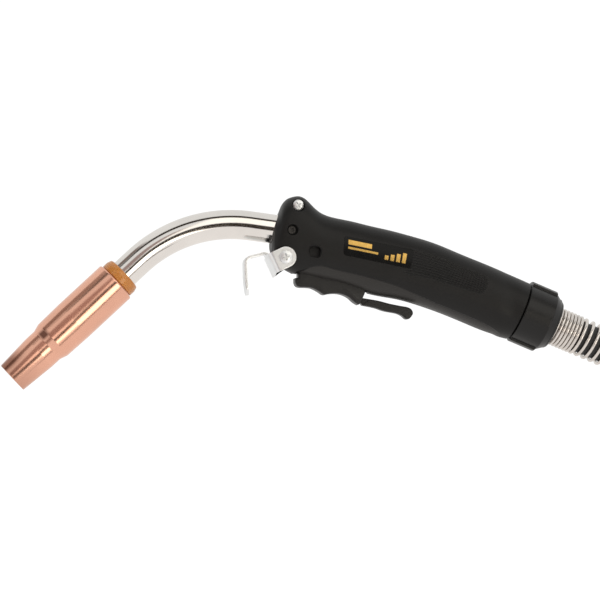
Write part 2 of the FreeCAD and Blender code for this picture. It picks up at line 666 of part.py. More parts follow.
# ---------------------------------------------------------------- hanger hook
FOLD_UP = Vector(-5.7, 0, 12.2)       # up along the flange
FOLD_UP.normalize()
FOLD_AHEAD = normal(FOLD_UP)          # ahead of the handle's nose
HUB = Vector(HOOK[0], 0, HOOK[1])
EAR_HALF = 6.7
FLANGE_IN = 8.0                       # hub to the flange's inner face
FLANGE_OUT = FLANGE_IN + EAR_T
TONGUE_T, TONGUE_HALF = 1.8, 7.0
TONGUE_LOWER = [(147.0, 75.2), (147.3, 62.0), (148.6, 51.4)]   # (x, z)
TONGUE_BEND_R = [2.0, 4.0, 40.0]      # one for each inner point of the tongue
TONGUE_END_Z = TONGUE_LOWER[-1][1]


def strap_plate(ahead_from, y_from, width):
    """Plate as high as the strap, from ahead_from to the flange's outer face."""
    corners = [(EAR_HALF, ahead_from), (-EAR_HALF, ahead_from),
               (-EAR_HALF, FLANGE_OUT), (EAR_HALF, FLANGE_OUT)]
    base = HUB + Vector(0, y_from, 0)
    points = [base + FOLD_UP * up + FOLD_AHEAD * ahead for up, ahead in corners]
    return polygon_face(points).extrude(Vector(0, width, 0))


def hanger_strap():
    ears = []
    for y_from in (-EAR_OUT, EAR_IN):
        disc = y_cylinder(EAR_HALF, HOOK, y_from, y_from + EAR_T)
        ears.append(disc.fuse(strap_plate(0, y_from, EAR_T)))
    flange = strap_plate(FLANGE_IN, -EAR_OUT, 2 * EAR_OUT)
    strap = flange.fuse(ears[0]).fuse(ears[1]).removeSplitter()
    corners = []
    for e in strap.Edges:
        box = e.BoundBox
        if box.YLength < 1e-6 and abs(abs(box.YMin) - EAR_OUT) < 1e-6:
            ahead = (e.CenterOfMass - HUB).dot(FOLD_AHEAD)
            if abs(ahead - FLANGE_OUT) < 1e-3 and e.Length > 5:
                corners.append(e)
    return rounded(strap, corners, 2.2)


def strip_face(points, radii, thick):
    """XZ face of a flat strip bent through the points; radii are for inner points."""
    sides, starts, ends = [], [], []
    for offset in (thick / 2, -thick / 2):
        first_dir = points[1] - points[0]
        first_dir.normalize()
        last = points[0] + normal(first_dir) * offset
        starts.append(last)
        for i, radius in enumerate(radii, 1):
            dir_in = points[i] - points[i - 1]
            dir_in.normalize()
            dir_out = points[i + 1] - points[i]
            dir_out.normalize()
            turn = 1 if dir_in.x * dir_out.z - dir_in.z * dir_out.x > 0 else -1
            angle = math.acos(max(-1, min(1, dir_in.dot(dir_out))))
            tangent = radius * math.tan(angle / 2)
            centre = points[i] - dir_in * tangent + normal(dir_in) * (turn * radius)
            arc_r = radius - turn * offset
            arc_start = centre - normal(dir_in) * (turn * arc_r)
            arc_end = centre - normal(dir_out) * (turn * arc_r)
            to_corner = points[i] - centre
            to_corner.normalize()
            sides.append(Part.makeLine(last, arc_start))
            sides.append(Part.Arc(arc_start, centre + to_corner * arc_r, arc_end).toShape())
            last = arc_end
        last_dir = points[-1] - points[-2]
        last_dir.normalize()
        end = points[-1] + normal(last_dir) * offset
        sides.append(Part.makeLine(last, end))
        ends.append(end)
    caps = [Part.makeLine(*starts), Part.makeLine(*ends)]
    return Part.Face(Part.Wire(Part.__sortEdges__(sides + caps)))


def hanger_hook():
    strap = hanger_strap()
    middle = HUB + FOLD_AHEAD * (FLANGE_IN + EAR_T / 2)
    path = [middle + FOLD_UP * (EAR_HALF - 1.0), middle + FOLD_UP * (EAR_HALF + 1.3)]
    path += [Vector(x, 0, z) for x, z in TONGUE_LOWER]
    tongue = strip_face(path, TONGUE_BEND_R, TONGUE_T)
    tongue = tongue.extrude(Vector(0, 2 * TONGUE_HALF, 0))
    tongue.translate(Vector(0, -TONGUE_HALF, 0))
    hook = one_solid(strap.fuse(tongue).cut(y_cylinder(2.1, HOOK, -30, 30)))
    ends = [e for e in hook.Edges
            if e.Length < 2.0 and abs(e.CenterOfMass.z - TONGUE_END_Z) < 0.6
            and abs(abs(e.CenterOfMass.y) - TONGUE_HALF) < 0.01]
    return rounded(hook, ends, 5.0)


save("hanger_hook", hanger_hook())

# ---------------------------------------------------------------- trigger
# Outlines are (x, z).
TRIGGER_HALF = 6.5
TRIGGER_LOWER = [
    (179.3, 61.8), (179.4, 59.6), (180.4, 57.6), (182.6, 56.7), (186.3, 56.6),
    (190.2, 56.2), (194.5, 54.2), (198.1, 52.0), (201.6, 52.5), (205.9, 52.8),
    (210.1, 52.2), (214.4, 50.3), (217.9, 47.3), (220.8, 45.5)]
TOP_REAR, TOP_FRONT = (224.4, 58.6), (191.5, 66.0)   # ends of the sloping top face
TRIGGER_UPPER = [
    (222.1, 46.3), (225.3, 53.8), (225.6, 57.6), TOP_REAR, TOP_FRONT, (190.6, 71.0),
    (188.4, 72.0), (183.6, 72.0), (181.4, 70.4), (181.4, 62.6), (179.3, 62.6)]
TONGUE_SLOT = [(224.6, 49.9), (213.4, 54.0), (212.6, 51.9), (223.0, 47.4)]
LIGHTENING = [(193.5, 64.6), (210.0, 60.9), (210.0, 56.5), (197.0, 56.5), (193.5, 59.0)]

LEVER_HALF, LEVER_TONGUE_HALF = 4.2, 2.6
LEVER_OUTLINE = [
    (223.6, 45.2), (231.7, 43.6), (238.4, 41.5), (246.0, 40.1), (249.6, 38.6),
    (252.4, 36.4), (254.8, 36.8), (257.0, 40.0), (255.7, 43.0), (252.8, 44.3),
    (250.3, 44.7), (242.3, 46.2), (234.3, 48.2), (228.0, 49.3), (225.0, 49.7)]
# two areas that trim the lever's front to the trigger's rear face
TRIM_UPPER = [(210.0, 40.0), (222.1, 46.3), (225.3, 53.8), (225.3, 60.0), (210.0, 60.0)]
TRIM_LOWER = [(210.0, 30.0), (221.66, 45.27), (222.1, 46.3), (210.0, 46.3)]
LEVER_TONGUE = [(225.6, 49.53), (213.4, 54.0), (212.6, 51.9), (224.0, 46.97)]


def trigger():
    body = prism(TRIGGER_LOWER + TRIGGER_UPPER, -TRIGGER_HALF, TRIGGER_HALF,
                 curved=len(TRIGGER_LOWER))
    body = body.cut(y_cylinder(PIN_R + 0.05, PIVOT, -20, 20))
    body = body.cut(prism(TONGUE_SLOT, -LEVER_TONGUE_HALF, LEVER_TONGUE_HALF))
    body = body.cut(prism(LIGHTENING, -4.4, 4.4))
    grip = [e for e in side_edges(body, TRIGGER_HALF) if e.CenterOfMass.z < 58]
    return one_solid(rounded(body, grip, 1.2))


def trigger_lever():
    lever = prism(LEVER_OUTLINE, -LEVER_HALF, LEVER_HALF, curved=len(LEVER_OUTLINE))
    lever = lever.cut(prism(TRIM_UPPER, -10, 10).fuse(prism(TRIM_LOWER, -10, 10)))
    tongue = prism(LEVER_TONGUE, -LEVER_TONGUE_HALF, LEVER_TONGUE_HALF)
    lever = one_solid(lever.fuse(tongue))
    return rounded(lever, side_edges(lever, LEVER_HALF), 0.9)


save("trigger", trigger())
save("trigger_lever", trigger_lever())

# ---------------------------------------------------------------- switch
SWITCH_X0, SWITCH_X1 = 203.0, 222.0
SWITCH_Z0, SWITCH_Z1 = 64.6, 74.4
SWITCH_HALF = 3.2
TERMINALS_Z = (66.6, 70.2)
LEAD_STARTS = ((-1, 67.0), (1, 70.6))   # side, z
PLUNGER_X, PLUNGER_R, PLUNGER_TOP = 212.0, 1.25, 66.3


def trigger_switch():
    switch = Part.makeBox(SWITCH_X1 - SWITCH_X0, 2 * SWITCH_HALF, SWITCH_Z1 - SWITCH_Z0,
                          Vector(SWITCH_X0, -SWITCH_HALF, SWITCH_Z0))
    for pin in SWITCH_PINS:
        switch = switch.cut(y_cylinder(1.2, pin, -5, 5))
    bore_start = Vector(PLUNGER_X, 0, SWITCH_Z0 - 0.1)
    switch = switch.cut(Part.makeCylinder(PLUNGER_R + 0.05, 4.0, bore_start, Vector(0, 0, 1)))
    for z in TERMINALS_Z:
        switch = switch.fuse(Part.makeBox(1.6, 3.0, 0.8, Vector(SWITCH_X1 - 0.2, -1.5, z)))
    return one_solid(switch)


def switch_plunger():
    """Ball-ended pin standing just above the trigger's sloping top face."""
    slope = (TOP_REAR[1] - TOP_FRONT[1]) / (TOP_REAR[0] - TOP_FRONT[0])
    trigger_z = TOP_FRONT[1] + slope * (PLUNGER_X - TOP_FRONT[0])
    foot_z = trigger_z + 0.95
    stem = Part.makeCylinder(PLUNGER_R, PLUNGER_TOP - foot_z,
                             Vector(PLUNGER_X, 0, foot_z), Vector(0, 0, 1))
    ball = Part.makeSphere(PLUNGER_R, Vector(PLUNGER_X, 0, trigger_z + 1.36))
    return one_solid(stem.fuse(ball))


def trigger_lead(side, z):
    start = [Vector(SWITCH_X1 + 1.45, 0, z), Vector(226.0, 0, z - 1.0)]
    return one_solid(round_bar(shifted(start + LEAD_RUN, side * LEAD_Y), LEAD_R))


save("trigger_switch", trigger_switch())
save("switch_plunger", switch_plunger())
for k, (lead_side, lead_z) in enumerate(LEAD_STARTS):
    save("trigger_lead_%d" % (k + 1), trigger_lead(lead_side, lead_z))

# ---------------------------------------------------------------- label
LABEL = [(210.1, 89.5), (255.5, 80.8), (252.9, 68.4), (209.3, 77.1)]   # (x, z)
LABEL_T = 0.35


def label_plate():
    """Thin plate on the handle's -Y side, following its surface."""
    skin = lofted(OUTER_SECTIONS, grow=LABEL_T).common(prism(LABEL, -22, -5))
    return one_solid(skin.cut(handle_outer))


save("label_plate", label_plate())
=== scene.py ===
# Welding torch: nozzle, bent neck tube, two-part handle with trigger and hanger hook,
# rear nut, coil spring and a stub of cable.
#
# Shapes are written in millimetres, shader values in metres.  The torch is centred on the
# plane Y = 0.  The neck axis starts at the origin, near the nozzle mouth, and climbs
# towards +X; the handle follows, and the cable leaves towards +X, falling.
# "Near" is the -Y side, which faces the camera; "far" is the +Y side; "ahead" is -X.
import bpy, bmesh, json, math
import numpy as np
from mathutils import Matrix, Vector

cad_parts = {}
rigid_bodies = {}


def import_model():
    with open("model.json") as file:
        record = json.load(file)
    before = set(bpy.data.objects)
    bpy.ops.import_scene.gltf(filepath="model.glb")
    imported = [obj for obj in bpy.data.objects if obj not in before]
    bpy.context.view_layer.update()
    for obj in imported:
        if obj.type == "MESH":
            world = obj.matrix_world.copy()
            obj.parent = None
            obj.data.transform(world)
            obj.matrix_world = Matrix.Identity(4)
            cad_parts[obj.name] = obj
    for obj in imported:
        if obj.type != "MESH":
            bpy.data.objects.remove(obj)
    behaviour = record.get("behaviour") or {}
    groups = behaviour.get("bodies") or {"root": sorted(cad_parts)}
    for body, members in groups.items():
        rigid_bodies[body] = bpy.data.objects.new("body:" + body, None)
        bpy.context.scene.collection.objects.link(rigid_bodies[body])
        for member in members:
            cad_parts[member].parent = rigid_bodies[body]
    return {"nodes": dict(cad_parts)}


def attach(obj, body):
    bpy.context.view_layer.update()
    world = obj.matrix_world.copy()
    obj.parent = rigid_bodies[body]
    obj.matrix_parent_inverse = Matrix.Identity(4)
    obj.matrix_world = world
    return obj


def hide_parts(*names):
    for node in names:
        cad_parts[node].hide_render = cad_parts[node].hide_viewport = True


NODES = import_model()["nodes"]
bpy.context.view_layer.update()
MM = 0.001

# ------------------------------------------------------------------ shared dimensions (mm)
NECK_ANGLE = math.radians(43.2)
REAR_ANGLE = math.radians(-7.5)      # tube where it enters the handle
CABLE_ANGLE = math.radians(-22.6)
BEND_START = 107.0                   # along the neck from the origin
BEND_R = 89.0
TUBE_R = 9.525
NOZZLE_R = 14.1
CABLE_ORIGIN = np.array([328.0, 0, 42.5])

# Screw and recess centres in side view (x, z)
LUG_SCREW = (180.9, 109.5)
HOOK_SCREW = (171.9, 75.4)
LOCK_SCREW = (176.4, 93.2)
RECESS = (191.0, 79.0)
TRIGGER_PIN = (186.0, 68.5)

STRAP_THICK = 1.6
STRAP_INNER_Y = 16.05
STRAP_OUTER_Y = STRAP_INNER_Y + STRAP_THICK
LUG_HEAD_SEAT_Y = -8.4
LUG_NUT_Y = 9.0
NUT_HEIGHT = 3.2
NUT_ACROSS = 7.0

# Crease low on the handle's side (x, z)
CREASE = [
    (171.0, 63.9), (176.4, 65.1), (184.0, 67.4), (191.0, 69.9), (196.0, 70.0),
    (204.0, 68.0), (218.7, 64.7), (233.3, 60.9), (243.5, 57.8), (251.7, 54.6),
    (270.0, 46.6), (288.6, 39.2), (303.3, 32.9), (316.0, 25.5),
]


def direction(angle):
    return np.array([math.cos(angle), 0, math.sin(angle)])


def upright(axis):
    """The axis turned a quarter turn up, in the XZ plane."""
    return np.array([-axis[2], 0, axis[0]])


NECK_DIR, REAR_DIR, CABLE_DIR = (direction(a) for a in (NECK_ANGLE, REAR_ANGLE, CABLE_ANGLE))
NECK_UP, CABLE_UP = upright(NECK_DIR), upright(CABLE_DIR)
Y_DIR = np.array([0.0, 1.0, 0.0])
BEND_IN = NECK_DIR * BEND_START
BEND_CENTRE = BEND_IN - NECK_UP * BEND_R
BEND_OUT = BEND_CENTRE + upright(REAR_DIR) * BEND_R


def tube_at(x):
    """Point at x on the straight rear part of the tube's axis."""
    return BEND_OUT + REAR_DIR * ((x - BEND_OUT[0]) / REAR_DIR[0])


def cable_at(distance):
    return CABLE_ORIGIN + CABLE_DIR * distance


# ------------------------------------------------------------------ mesh helpers
def finish_mesh(ob, mat, sharp):
    mesh = ob.data
    for face in mesh.polygons:
        face.use_smooth = True
    mesh.set_sharp_from_angle(angle=math.radians(sharp))
    mesh.materials.clear()
    if mat is not None:
        mesh.materials.append(mat)


def register(ob, node, body="torch"):
    """Put the object in place of a CAD node, riding on a body."""
    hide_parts(node)
    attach(ob, body)


def make(name, verts, faces, mat=None, sharp=38.0, node=None, body="torch"):
    """Mesh object from millimetre points; cutters and raw bodies have no node."""
    mesh = bpy.data.meshes.new(name)
    points = np.asarray(verts, float) * MM
    mesh.from_pydata([tuple(p) for p in points], [], [tuple(f) for f in faces])
    mesh.validate()
    ob = bpy.data.objects.new(name, mesh)
    bpy.context.scene.collection.objects.link(ob)
    bm = bmesh.new()
    bm.from_mesh(mesh)
    bmesh.ops.remove_doubles(bm, verts=bm.verts, dist=1e-7)
    bmesh.ops.recalc_face_normals(bm, faces=bm.faces)
    bm.to_mesh(mesh)
    bm.free()
    finish_mesh(ob, mat, sharp)
    if node:
        register(ob, node, body)
    return ob


def modified_mesh(ob):
    """Mesh with the modifiers applied; the modifiers are then cleared."""
    graph = bpy.context.evaluated_depsgraph_get()
    graph.update()
    mesh = bpy.data.meshes.new_from_object(ob.evaluated_get(graph))
    ob.modifiers.clear()
    return mesh


def swap_mesh(ob, mesh):
    old = ob.data
    ob.data = mesh
    bpy.data.meshes.remove(old)


def boolean(ob, tool, operation="DIFFERENCE"):
    """Apply a boolean and remove the tool."""
    # The manifold solver can give up, leaving nothing or no change; then the exact one runs
    for solver in ("MANIFOLD", "EXACT"):
        mod = ob.modifiers.new("b", "BOOLEAN")
        mod.operation = operation
        mod.object = tool
        mod.solver = solver
        mesh = modified_mesh(ob)
        count = len(mesh.polygons)
        if count > 0 and (count != len(ob.data.polygons) or solver == "EXACT"):
            swap_mesh(ob, mesh)
            break
        bpy.data.meshes.remove(mesh)
    bpy.data.objects.remove(tool)


def angles(count):
    return [math.tau * k / count for k in range(count)]


def band_faces(rings, segs, base=0, flip=False):
    """Quads joining successive closed rings of segs points."""
    faces = []
    for i in range(rings - 1):
        a, b = base + i * segs, base + (i + 1) * segs
        for k in range(segs):
            k2 = (k + 1) % segs
            if flip:
                faces.append((a + k, b + k, b + k2, a + k2))
            else:
                faces.append((a + k, a + k2, b + k2, b + k))
    return faces


def wheel_faces(segs, count):
    """Quads of a closed profile of count points turned full circle in segs steps."""
    faces = []
    for k in range(segs):
        a, b = k * count, (k + 1) % segs * count
        for i in range(count):
            j = (i + 1) % count
            faces.append((a + i, a + j, b + j, b + i))
    return faces


def loft(name, loops, mat=None, **extra):
    """Solid through equal closed loops, capped at both ends."""
    rings, count = len(loops), len(loops[0])
    faces = band_faces(rings, count)
    faces.append(tuple(range(count)))
    faces.append(tuple(range((rings - 1) * count, rings * count))[::-1])
    return make(name, np.reshape(loops, (-1, 3)), faces, mat, **extra)


def sheet(top, bottom, rows, cols):
    """Vertices and faces of a thin solid between two rows x cols grids of points."""
    faces = []
    offset = rows * cols
    for i in range(rows - 1):
        for j in range(cols - 1):
            a, b = i * cols + j, (i + 1) * cols + j
            quad = (a, b, b + 1, a + 1)
            faces.append(quad)
            faces.append(tuple(offset + k for k in quad)[::-1])
    rim = [(i, 0) for i in range(rows)]
    rim += [(rows - 1, j) for j in range(1, cols)]
    rim += [(i, cols - 1) for i in range(rows - 2, -1, -1)]
    rim += [(0, j) for j in range(cols - 2, 0, -1)]
    rim = [i * cols + j for i, j in rim]
    for a, b in zip(rim, rim[1:] + rim[:1]):
        faces.append((a, offset + a, offset + b, b))
    return top + bottom, faces


def arc_corner(before, corner, after, radius, steps):
    """Points rounding a corner; the arc shrinks where the sides are short."""
    before, corner, after = (np.asarray(p, float) for p in (before, corner, after))
    d0, d1 = before - corner, after - corner
    len0, len1 = np.linalg.norm(d0), np.linalg.norm(d1)
    d0, d1 = d0 / len0, d1 / len1
    angle = math.acos(max(-1, min(1, float(d0 @ d1))))
    if radius <= 0 or angle > math.pi - 1e-3:
        return [corner]
    cut = min(radius / math.tan(angle / 2), len0 * 0.49, len1 * 0.49)
    radius = cut * math.tan(angle / 2)
    bisector = d0 + d1
    bisector /= np.linalg.norm(bisector)
    centre = corner + bisector * (radius / math.sin(angle / 2))
    start, end = corner + d0 * cut - centre, corner + d1 * cut - centre
    cosine = float(start @ end) / (np.linalg.norm(start) * np.linalg.norm(end))
    sweep = math.acos(max(-1, min(1, cosine)))
    out = []
    for k in range(steps + 1):
        w = k / steps
        arm = math.sin((1 - w) * sweep) * start + math.sin(w * sweep) * end
        out.append(centre + arm / math.sin(sweep))
    return out


def rounded_loop(points, steps):
    """Closed outline; each point is (a, b) or (a, b, corner radius)."""
    out = []
    for i, p in enumerate(points):
        radius = p[2] if len(p) > 2 else 0
        after = points[(i + 1) % len(points)]
        out += arc_corner(points[i - 1][:2], p[:2], after[:2], radius, steps)
    return out


def densify(points, step):
    """Open line divided so that no piece is much longer than step."""
    out = []
    for p, q in zip(points, points[1:]):
        count = max(1, int(np.linalg.norm(q - p) / step))
        out += [p + (q - p) * k / count for k in range(count)]
    return out + [points[-1]]


def straight(p, q, step):
    count = max(2, int(np.linalg.norm(q - p) / step) + 1)
    return [p + (q - p) * k / (count - 1) for k in range(count)]


def catmull(points, per):
    """Catmull-Rom curve through the points, per steps to a span."""
    pts = np.asarray(points, float)
    ends = np.vstack([2 * pts[0] - pts[1], pts, 2 * pts[-1] - pts[-2]])
    out = []
    for a, b, c, d in zip(ends, ends[1:], ends[2:], ends[3:]):
        for k in range(per):
            t = k / per
            out.append(0.5 * ((2 * b) + (c - a) * t + (2 * a - 5 * b + 4 * c - d) * t * t
                              + (-a + 3 * b - 3 * c + d) * t ** 3))
    out.append(pts[-1])
    return np.array(out)


def smooth(x, lo, hi):
    t = np.clip((x - lo) / (hi - lo), 0, 1)
    return t * t * (3 - 2 * t)


def lathe(name, profile, mat, segs, node, body="torch"):
    """Closed profile (distance along, radius, corner radius) turned round the neck axis."""
    loop = rounded_loop(profile, 8)
    side = np.cross(NECK_DIR, NECK_UP)
    verts = []
    for a in angles(segs):
        out = NECK_UP * math.cos(a) + side * math.sin(a)
        verts += [NECK_DIR * t + out * r for t, r in loop]
    return make(name, verts, wheel_faces(segs, len(loop)), mat, node=node, body=body)


def path_frames(path):
    """Two cross directions at each point, carried along without twist."""
    tangents = np.gradient(path, axis=0)
    tangents /= np.linalg.norm(tangents, axis=1)[:, None]
    normal = Y_DIR if abs(tangents[0][1]) < 0.9 else np.array([1.0, 0, 0])
    normal = normal - tangents[0] * (normal @ tangents[0])
    normal /= np.linalg.norm(normal)
    out = []
    for t in tangents:
        normal = normal - t * (normal @ t)
        normal /= np.linalg.norm(normal)
        out.append((normal.copy(), np.cross(t, normal)))
    return out


def pipe(name, path, r_out, r_in=0, mat=None, segs=96, node=None):
    """Round bar or hollow pipe along a path; r_out may vary from point to point."""
    path = np.asarray(path, float)
    count = len(path)
    frames = path_frames(path)
    skins = [np.broadcast_to(r_out, count)]
    if r_in:
        skins.append(np.full(count, r_in))
    verts = []
    for radii in skins:
        for point, (a, b), radius in zip(path, frames, radii):
            verts += [point + (a * math.cos(w) + b * math.sin(w)) * radius
                      for w in angles(segs)]
    faces = band_faces(count, segs)
    last = (count - 1) * segs
    if r_in:
        inner = count * segs
        faces += band_faces(count, segs, base=inner, flip=True)
        for k in range(segs):
            k2 = (k + 1) % segs
            faces.append((k, inner + k, inner + k2, k2))
            faces.append((last + k, last + k2, inner + last + k2, inner + last + k))
    else:
        faces.append(tuple(range(segs))[::-1])
        faces.append(tuple(last + k for k in range(segs)))
    return make(name, verts, faces, mat, node=node)


def clean_inset(outline, normals, inset):
    """Outline moved inwards; points that would cross over slide between good neighbours."""
    if inset <= 0:
        return outline
    moved = outline + normals * inset
    edge = np.roll(outline, -1, 0) - outline
    edge_sq = np.sum(edge * edge, 1) + 1e-12
    t = np.clip(np.sum((moved[:, None] - outline[None]) * edge[None], 2) / edge_sq[None], 0, 1)
    foot = outline[None] + edge[None] * t[..., None]
    ok = np.linalg.norm(moved[:, None] - foot, axis=2).min(1) > inset * 0.985
    if ok.all() or not ok.any():
        return moved
    count = len(outline)
    good = np.where(ok)[0]
    out = moved.copy()
    for i in np.where(~ok)[0]:
        after = good[np.searchsorted(good, i) % len(good)]
        before = good[np.searchsorted(good, i) - 1]
        share = ((i - before) % count) / ((after - before) % count)
        out[i] = moved[before] * (1 - share) + moved[after] * share
    return out


def soft_prism(name, outline, y_range, edge_r, layers, mat=None, **extra):
    """Side outline (x, z) given width in Y, with its edges rounded in layers steps."""
    o = np.asarray(outline, float)
    area = 0.5 * np.sum(o[:, 0] * np.roll(o[:, 1], -1) - np.roll(o[:, 0], -1) * o[:, 1])
    if area < 0:
        o = o[::-1]
    d = np.roll(o, -1, 0) - np.roll(o, 1, 0)
    d /= np.linalg.norm(d, axis=1)[:, None] + 1e-12
    inward = np.stack([-d[:, 1], d[:, 0]], 1)
    lo, hi = y_range
    turns = [(math.pi / 2) * k / layers for k in range(layers + 1)]
    # (inset, y) of each ring
    rings = [(edge_r * (1 - math.sin(a)), lo + edge_r * (1 - math.cos(a))) for a in turns]
    rings += [(0.0, lo + edge_r + (hi - lo - 2 * edge_r) * k / 3) for k in (1, 2)]
    rings += [(edge_r * (1 - math.sin(a)), hi - edge_r * (1 - math.cos(a)))
              for a in turns[::-1]]
    loops = [[(x, y, z) for x, z in clean_inset(o, inward, inset)] for inset, y in rings]
    return loft(name, loops, mat, **extra)


def turned(name, centre, profile, segs=64):
    """Solid turned round an axis along Y; profile is a list of (y, radius)."""
    x, z = centre
    return loft(name, [[(x + r * math.cos(w), y, z + r * math.sin(w)) for w in angles(segs)]
                       for y, r in profile])


def axis_cutter(p, q, radius):
    return pipe("cut", [p, (p + q) / 2, q], radius)


def outline_cutter(outline, y_range):
    """Straight prism of a side outline (x, z)."""
    m = len(outline)
    verts = [(x, y, z) for y in sorted(y_range) for x, z in outline]
    faces = [tuple(range(m)), tuple(range(m, 2 * m))[::-1]] + band_faces(2, m)
    return make("cut", verts, faces)


def hexagon(centre, across_flats):
    radius = across_flats / math.sqrt(3)
    turns = [math.radians(60 * k + 30) for k in range(6)]
    return [(centre[0] + radius * math.cos(a), centre[1] + radius * math.sin(a))
            for a in turns]


# ------------------------------------------------------------------ shader helpers
class Graph:
    """Short ways to add nodes to a node tree."""
    def __init__(self, tree):
        self.tree = tree

    def link(self, a, b):
        self.tree.links.new(a, b)

    def new(self, kind, **props):
        node = self.tree.nodes.new(kind)
        for key, value in props.items():
            setattr(node, key, value)
        return node

    def fill(self, sock, value):
        """Link a socket, or set it from a number or an RGB colour."""
        if isinstance(value, (int, float)):
            sock.default_value = value
        elif isinstance(value, tuple):
            widen = len(value) == 3 and len(sock.default_value) == 4
            sock.default_value = (*value, 1.0) if widen else value
        else:
            self.link(value, sock)

    def calc(self, operation, a, b=None, clamp=False):
        node = self.new("ShaderNodeMath", operation=operation, use_clamp=clamp)
        self.fill(node.inputs[0], a)
        if b is not None:
            self.fill(node.inputs[1], b)
        return node.outputs[0]

    def add(self, a, b, clamp=False):
        return self.calc("ADD", a, b, clamp)

    def sub(self, a, b, clamp=False):
        return self.calc("SUBTRACT", a, b, clamp)

    def mul(self, a, b, clamp=False):
        return self.calc("MULTIPLY", a, b, clamp)

    def mix(self, factor, a, b, blend="MIX"):
        node = self.new("ShaderNodeMix", data_type="RGBA", blend_type=blend)
        for index, value in ((0, factor), (6, a), (7, b)):
            self.fill(node.inputs[index], value)
        return node.outputs[2]

    def separate(self, vector):
        node = self.new("ShaderNodeSeparateXYZ")
        self.link(vector, node.inputs[0])
        return node.outputs


class Surface(Graph):
    """A new material with its principled shader and object coordinates."""
    def __init__(self, name):
        self.mat = bpy.data.materials.new(name)
        self.mat.use_nodes = True
        super().__init__(self.mat.node_tree)
        self.bsdf = self.tree.nodes["Principled BSDF"]
        self.coords = self.new("ShaderNodeTexCoord").outputs["Object"]

    def set(self, **inputs):
        """Fill shader inputs, written with underscores for spaces."""
        for key, value in inputs.items():
            self.fill(self.bsdf.inputs[key.replace("_", " ")], value)

    def noise(self, scale, detail, rough, vector=None):
        node = self.new("ShaderNodeTexNoise")
        node.inputs["Scale"].default_value = scale
        node.inputs["Detail"].default_value = detail
        node.inputs["Roughness"].default_value = rough
        self.link(vector or self.coords, node.inputs["Vector"])
        return node.outputs["Fac"]

    def ramp(self, factor, stops):
        """Colour ramp; each stop is (position, RGB)."""
        node = self.new("ShaderNodeValToRGB")
        for element, (position, colour) in zip(node.color_ramp.elements, stops):
            element.position = position
            element.color = (*colour, 1.0)
        self.link(factor, node.inputs["Fac"])
        return node.outputs["Color"]

    def bump(self, height, strength, distance):
        node = self.new("ShaderNodeBump")
        node.inputs["Strength"].default_value = strength
        node.inputs["Distance"].default_value = distance
        self.link(height, node.inputs["Height"])
        self.link(node.outputs["Normal"], self.bsdf.inputs["Normal"])

    def along(self, axis):
        """Distance along an axis from the origin, in metres."""
        offset = self.new("ShaderNodeVectorMath", operation="SUBTRACT")
        self.link(self.coords, offset.inputs[0])
        dot = self.new("ShaderNodeVectorMath", operation="DOT_PRODUCT")
        self.link(offset.outputs[0], dot.inputs[0])
        dot.inputs[1].default_value = tuple(float(v) for v in axis)
        return dot.outputs["Value"]

    def band(self, value, lo, hi, soft):
        """1 between lo and hi, fading to 0 at both over the soft width."""
        rise = self.calc("DIVIDE", self.sub(value, lo), soft, True)
        fall = self.calc("DIVIDE", self.sub(hi, value), soft, True)
        return self.mul(rise, fall)


def scaled(colour, factor):
    return tuple(c * factor for c in colour)


# ------------------------------------------------------------------ materials
def metal(name, base, rough, grain_axis=None, grain_scale=None, dark=0.75, spots=60,
          strength=0.12, rough_var=0.08, metallic=1.0):
    """Blotched metal; with a grain axis it also gets fine rings across that axis.

    dark: tone of the blotches; spots: their noise scale; strength: bump.
    """
    g = Surface(name)
    patch = g.noise(spots, detail=5, rough=0.6)
    fine = g.noise(spots * 14, detail=3, rough=0.5)
    g.tone = g.ramp(patch, [(0.30, scaled(base, dark)), (0.72, base)])
    height = fine
    if grain_axis is not None:
        combine = g.new("ShaderNodeCombineXYZ")
        g.link(g.mul(g.along(grain_axis), grain_scale), combine.inputs[0])
        lines = g.noise(1.0, detail=3, rough=0.7, vector=combine.outputs[0])
        g.tone = g.mix(g.mul(lines, 0.22), g.tone, scaled(base, 0.72))
        height = g.add(lines, g.mul(fine, 0.4))
    level = g.add(g.mul(patch, rough_var), rough - rough_var * 0.5)
    g.set(Base_Color=g.tone, Metallic=metallic,
          Roughness=g.add(level, g.mul(fine, rough_var * 0.5)))
    g.bump(height, strength=strength, distance=0.00003)
    return g


def copper_drawn():
    """Drawn copper, darker at the mouth, with two painted dark reflections on the near side."""
    g = metal("copper_drawn", (0.96, 0.52, 0.375), rough=0.155, grain_axis=NECK_DIR,
              grain_scale=2400, dark=0.88, spots=45, strength=0.05, rough_var=0.05,
              metallic=0.84)
    along = g.along(NECK_DIR)
    mouth = g.ramp(g.mul(g.add(along, 0.004), 9.0), [(0.0, (0.75,) * 3), (0.22, (1.0,) * 3)])
    colour = g.mix(1.0, g.tone, mouth, "MULTIPLY")
    height = g.mul(g.along(NECK_UP), 1 / (NOZZLE_R * MM))
    near = g.mul(g.separate(g.coords)[1], -400.0, True)
    # painted reflections: these dark patches on the near side stand for dark surroundings
    # mirrored in the copper, not burns
    # (low, high, fade) in nozzle radii above the axis, the same in metres along it,
    # strength, colour
    painted_reflections = [
        ((0.30, 0.86, 0.16), (-0.02, 0.0135, 0.009), 0.75, (0.20, 0.075, 0.045)),
        ((0.20, 0.72, 0.15), (0.0262, 0.0340, 0.0024), 0.93, (0.11, 0.038, 0.024)),
    ]
    for across, lengthwise, strength, reflection_tone in painted_reflections:
        mask = g.mul(g.mul(g.band(height, *across), near), g.band(along, *lengthwise))
        colour = g.mix(g.mul(mask, strength), colour, reflection_tone)
    g.set(Base_Color=colour)
    return g


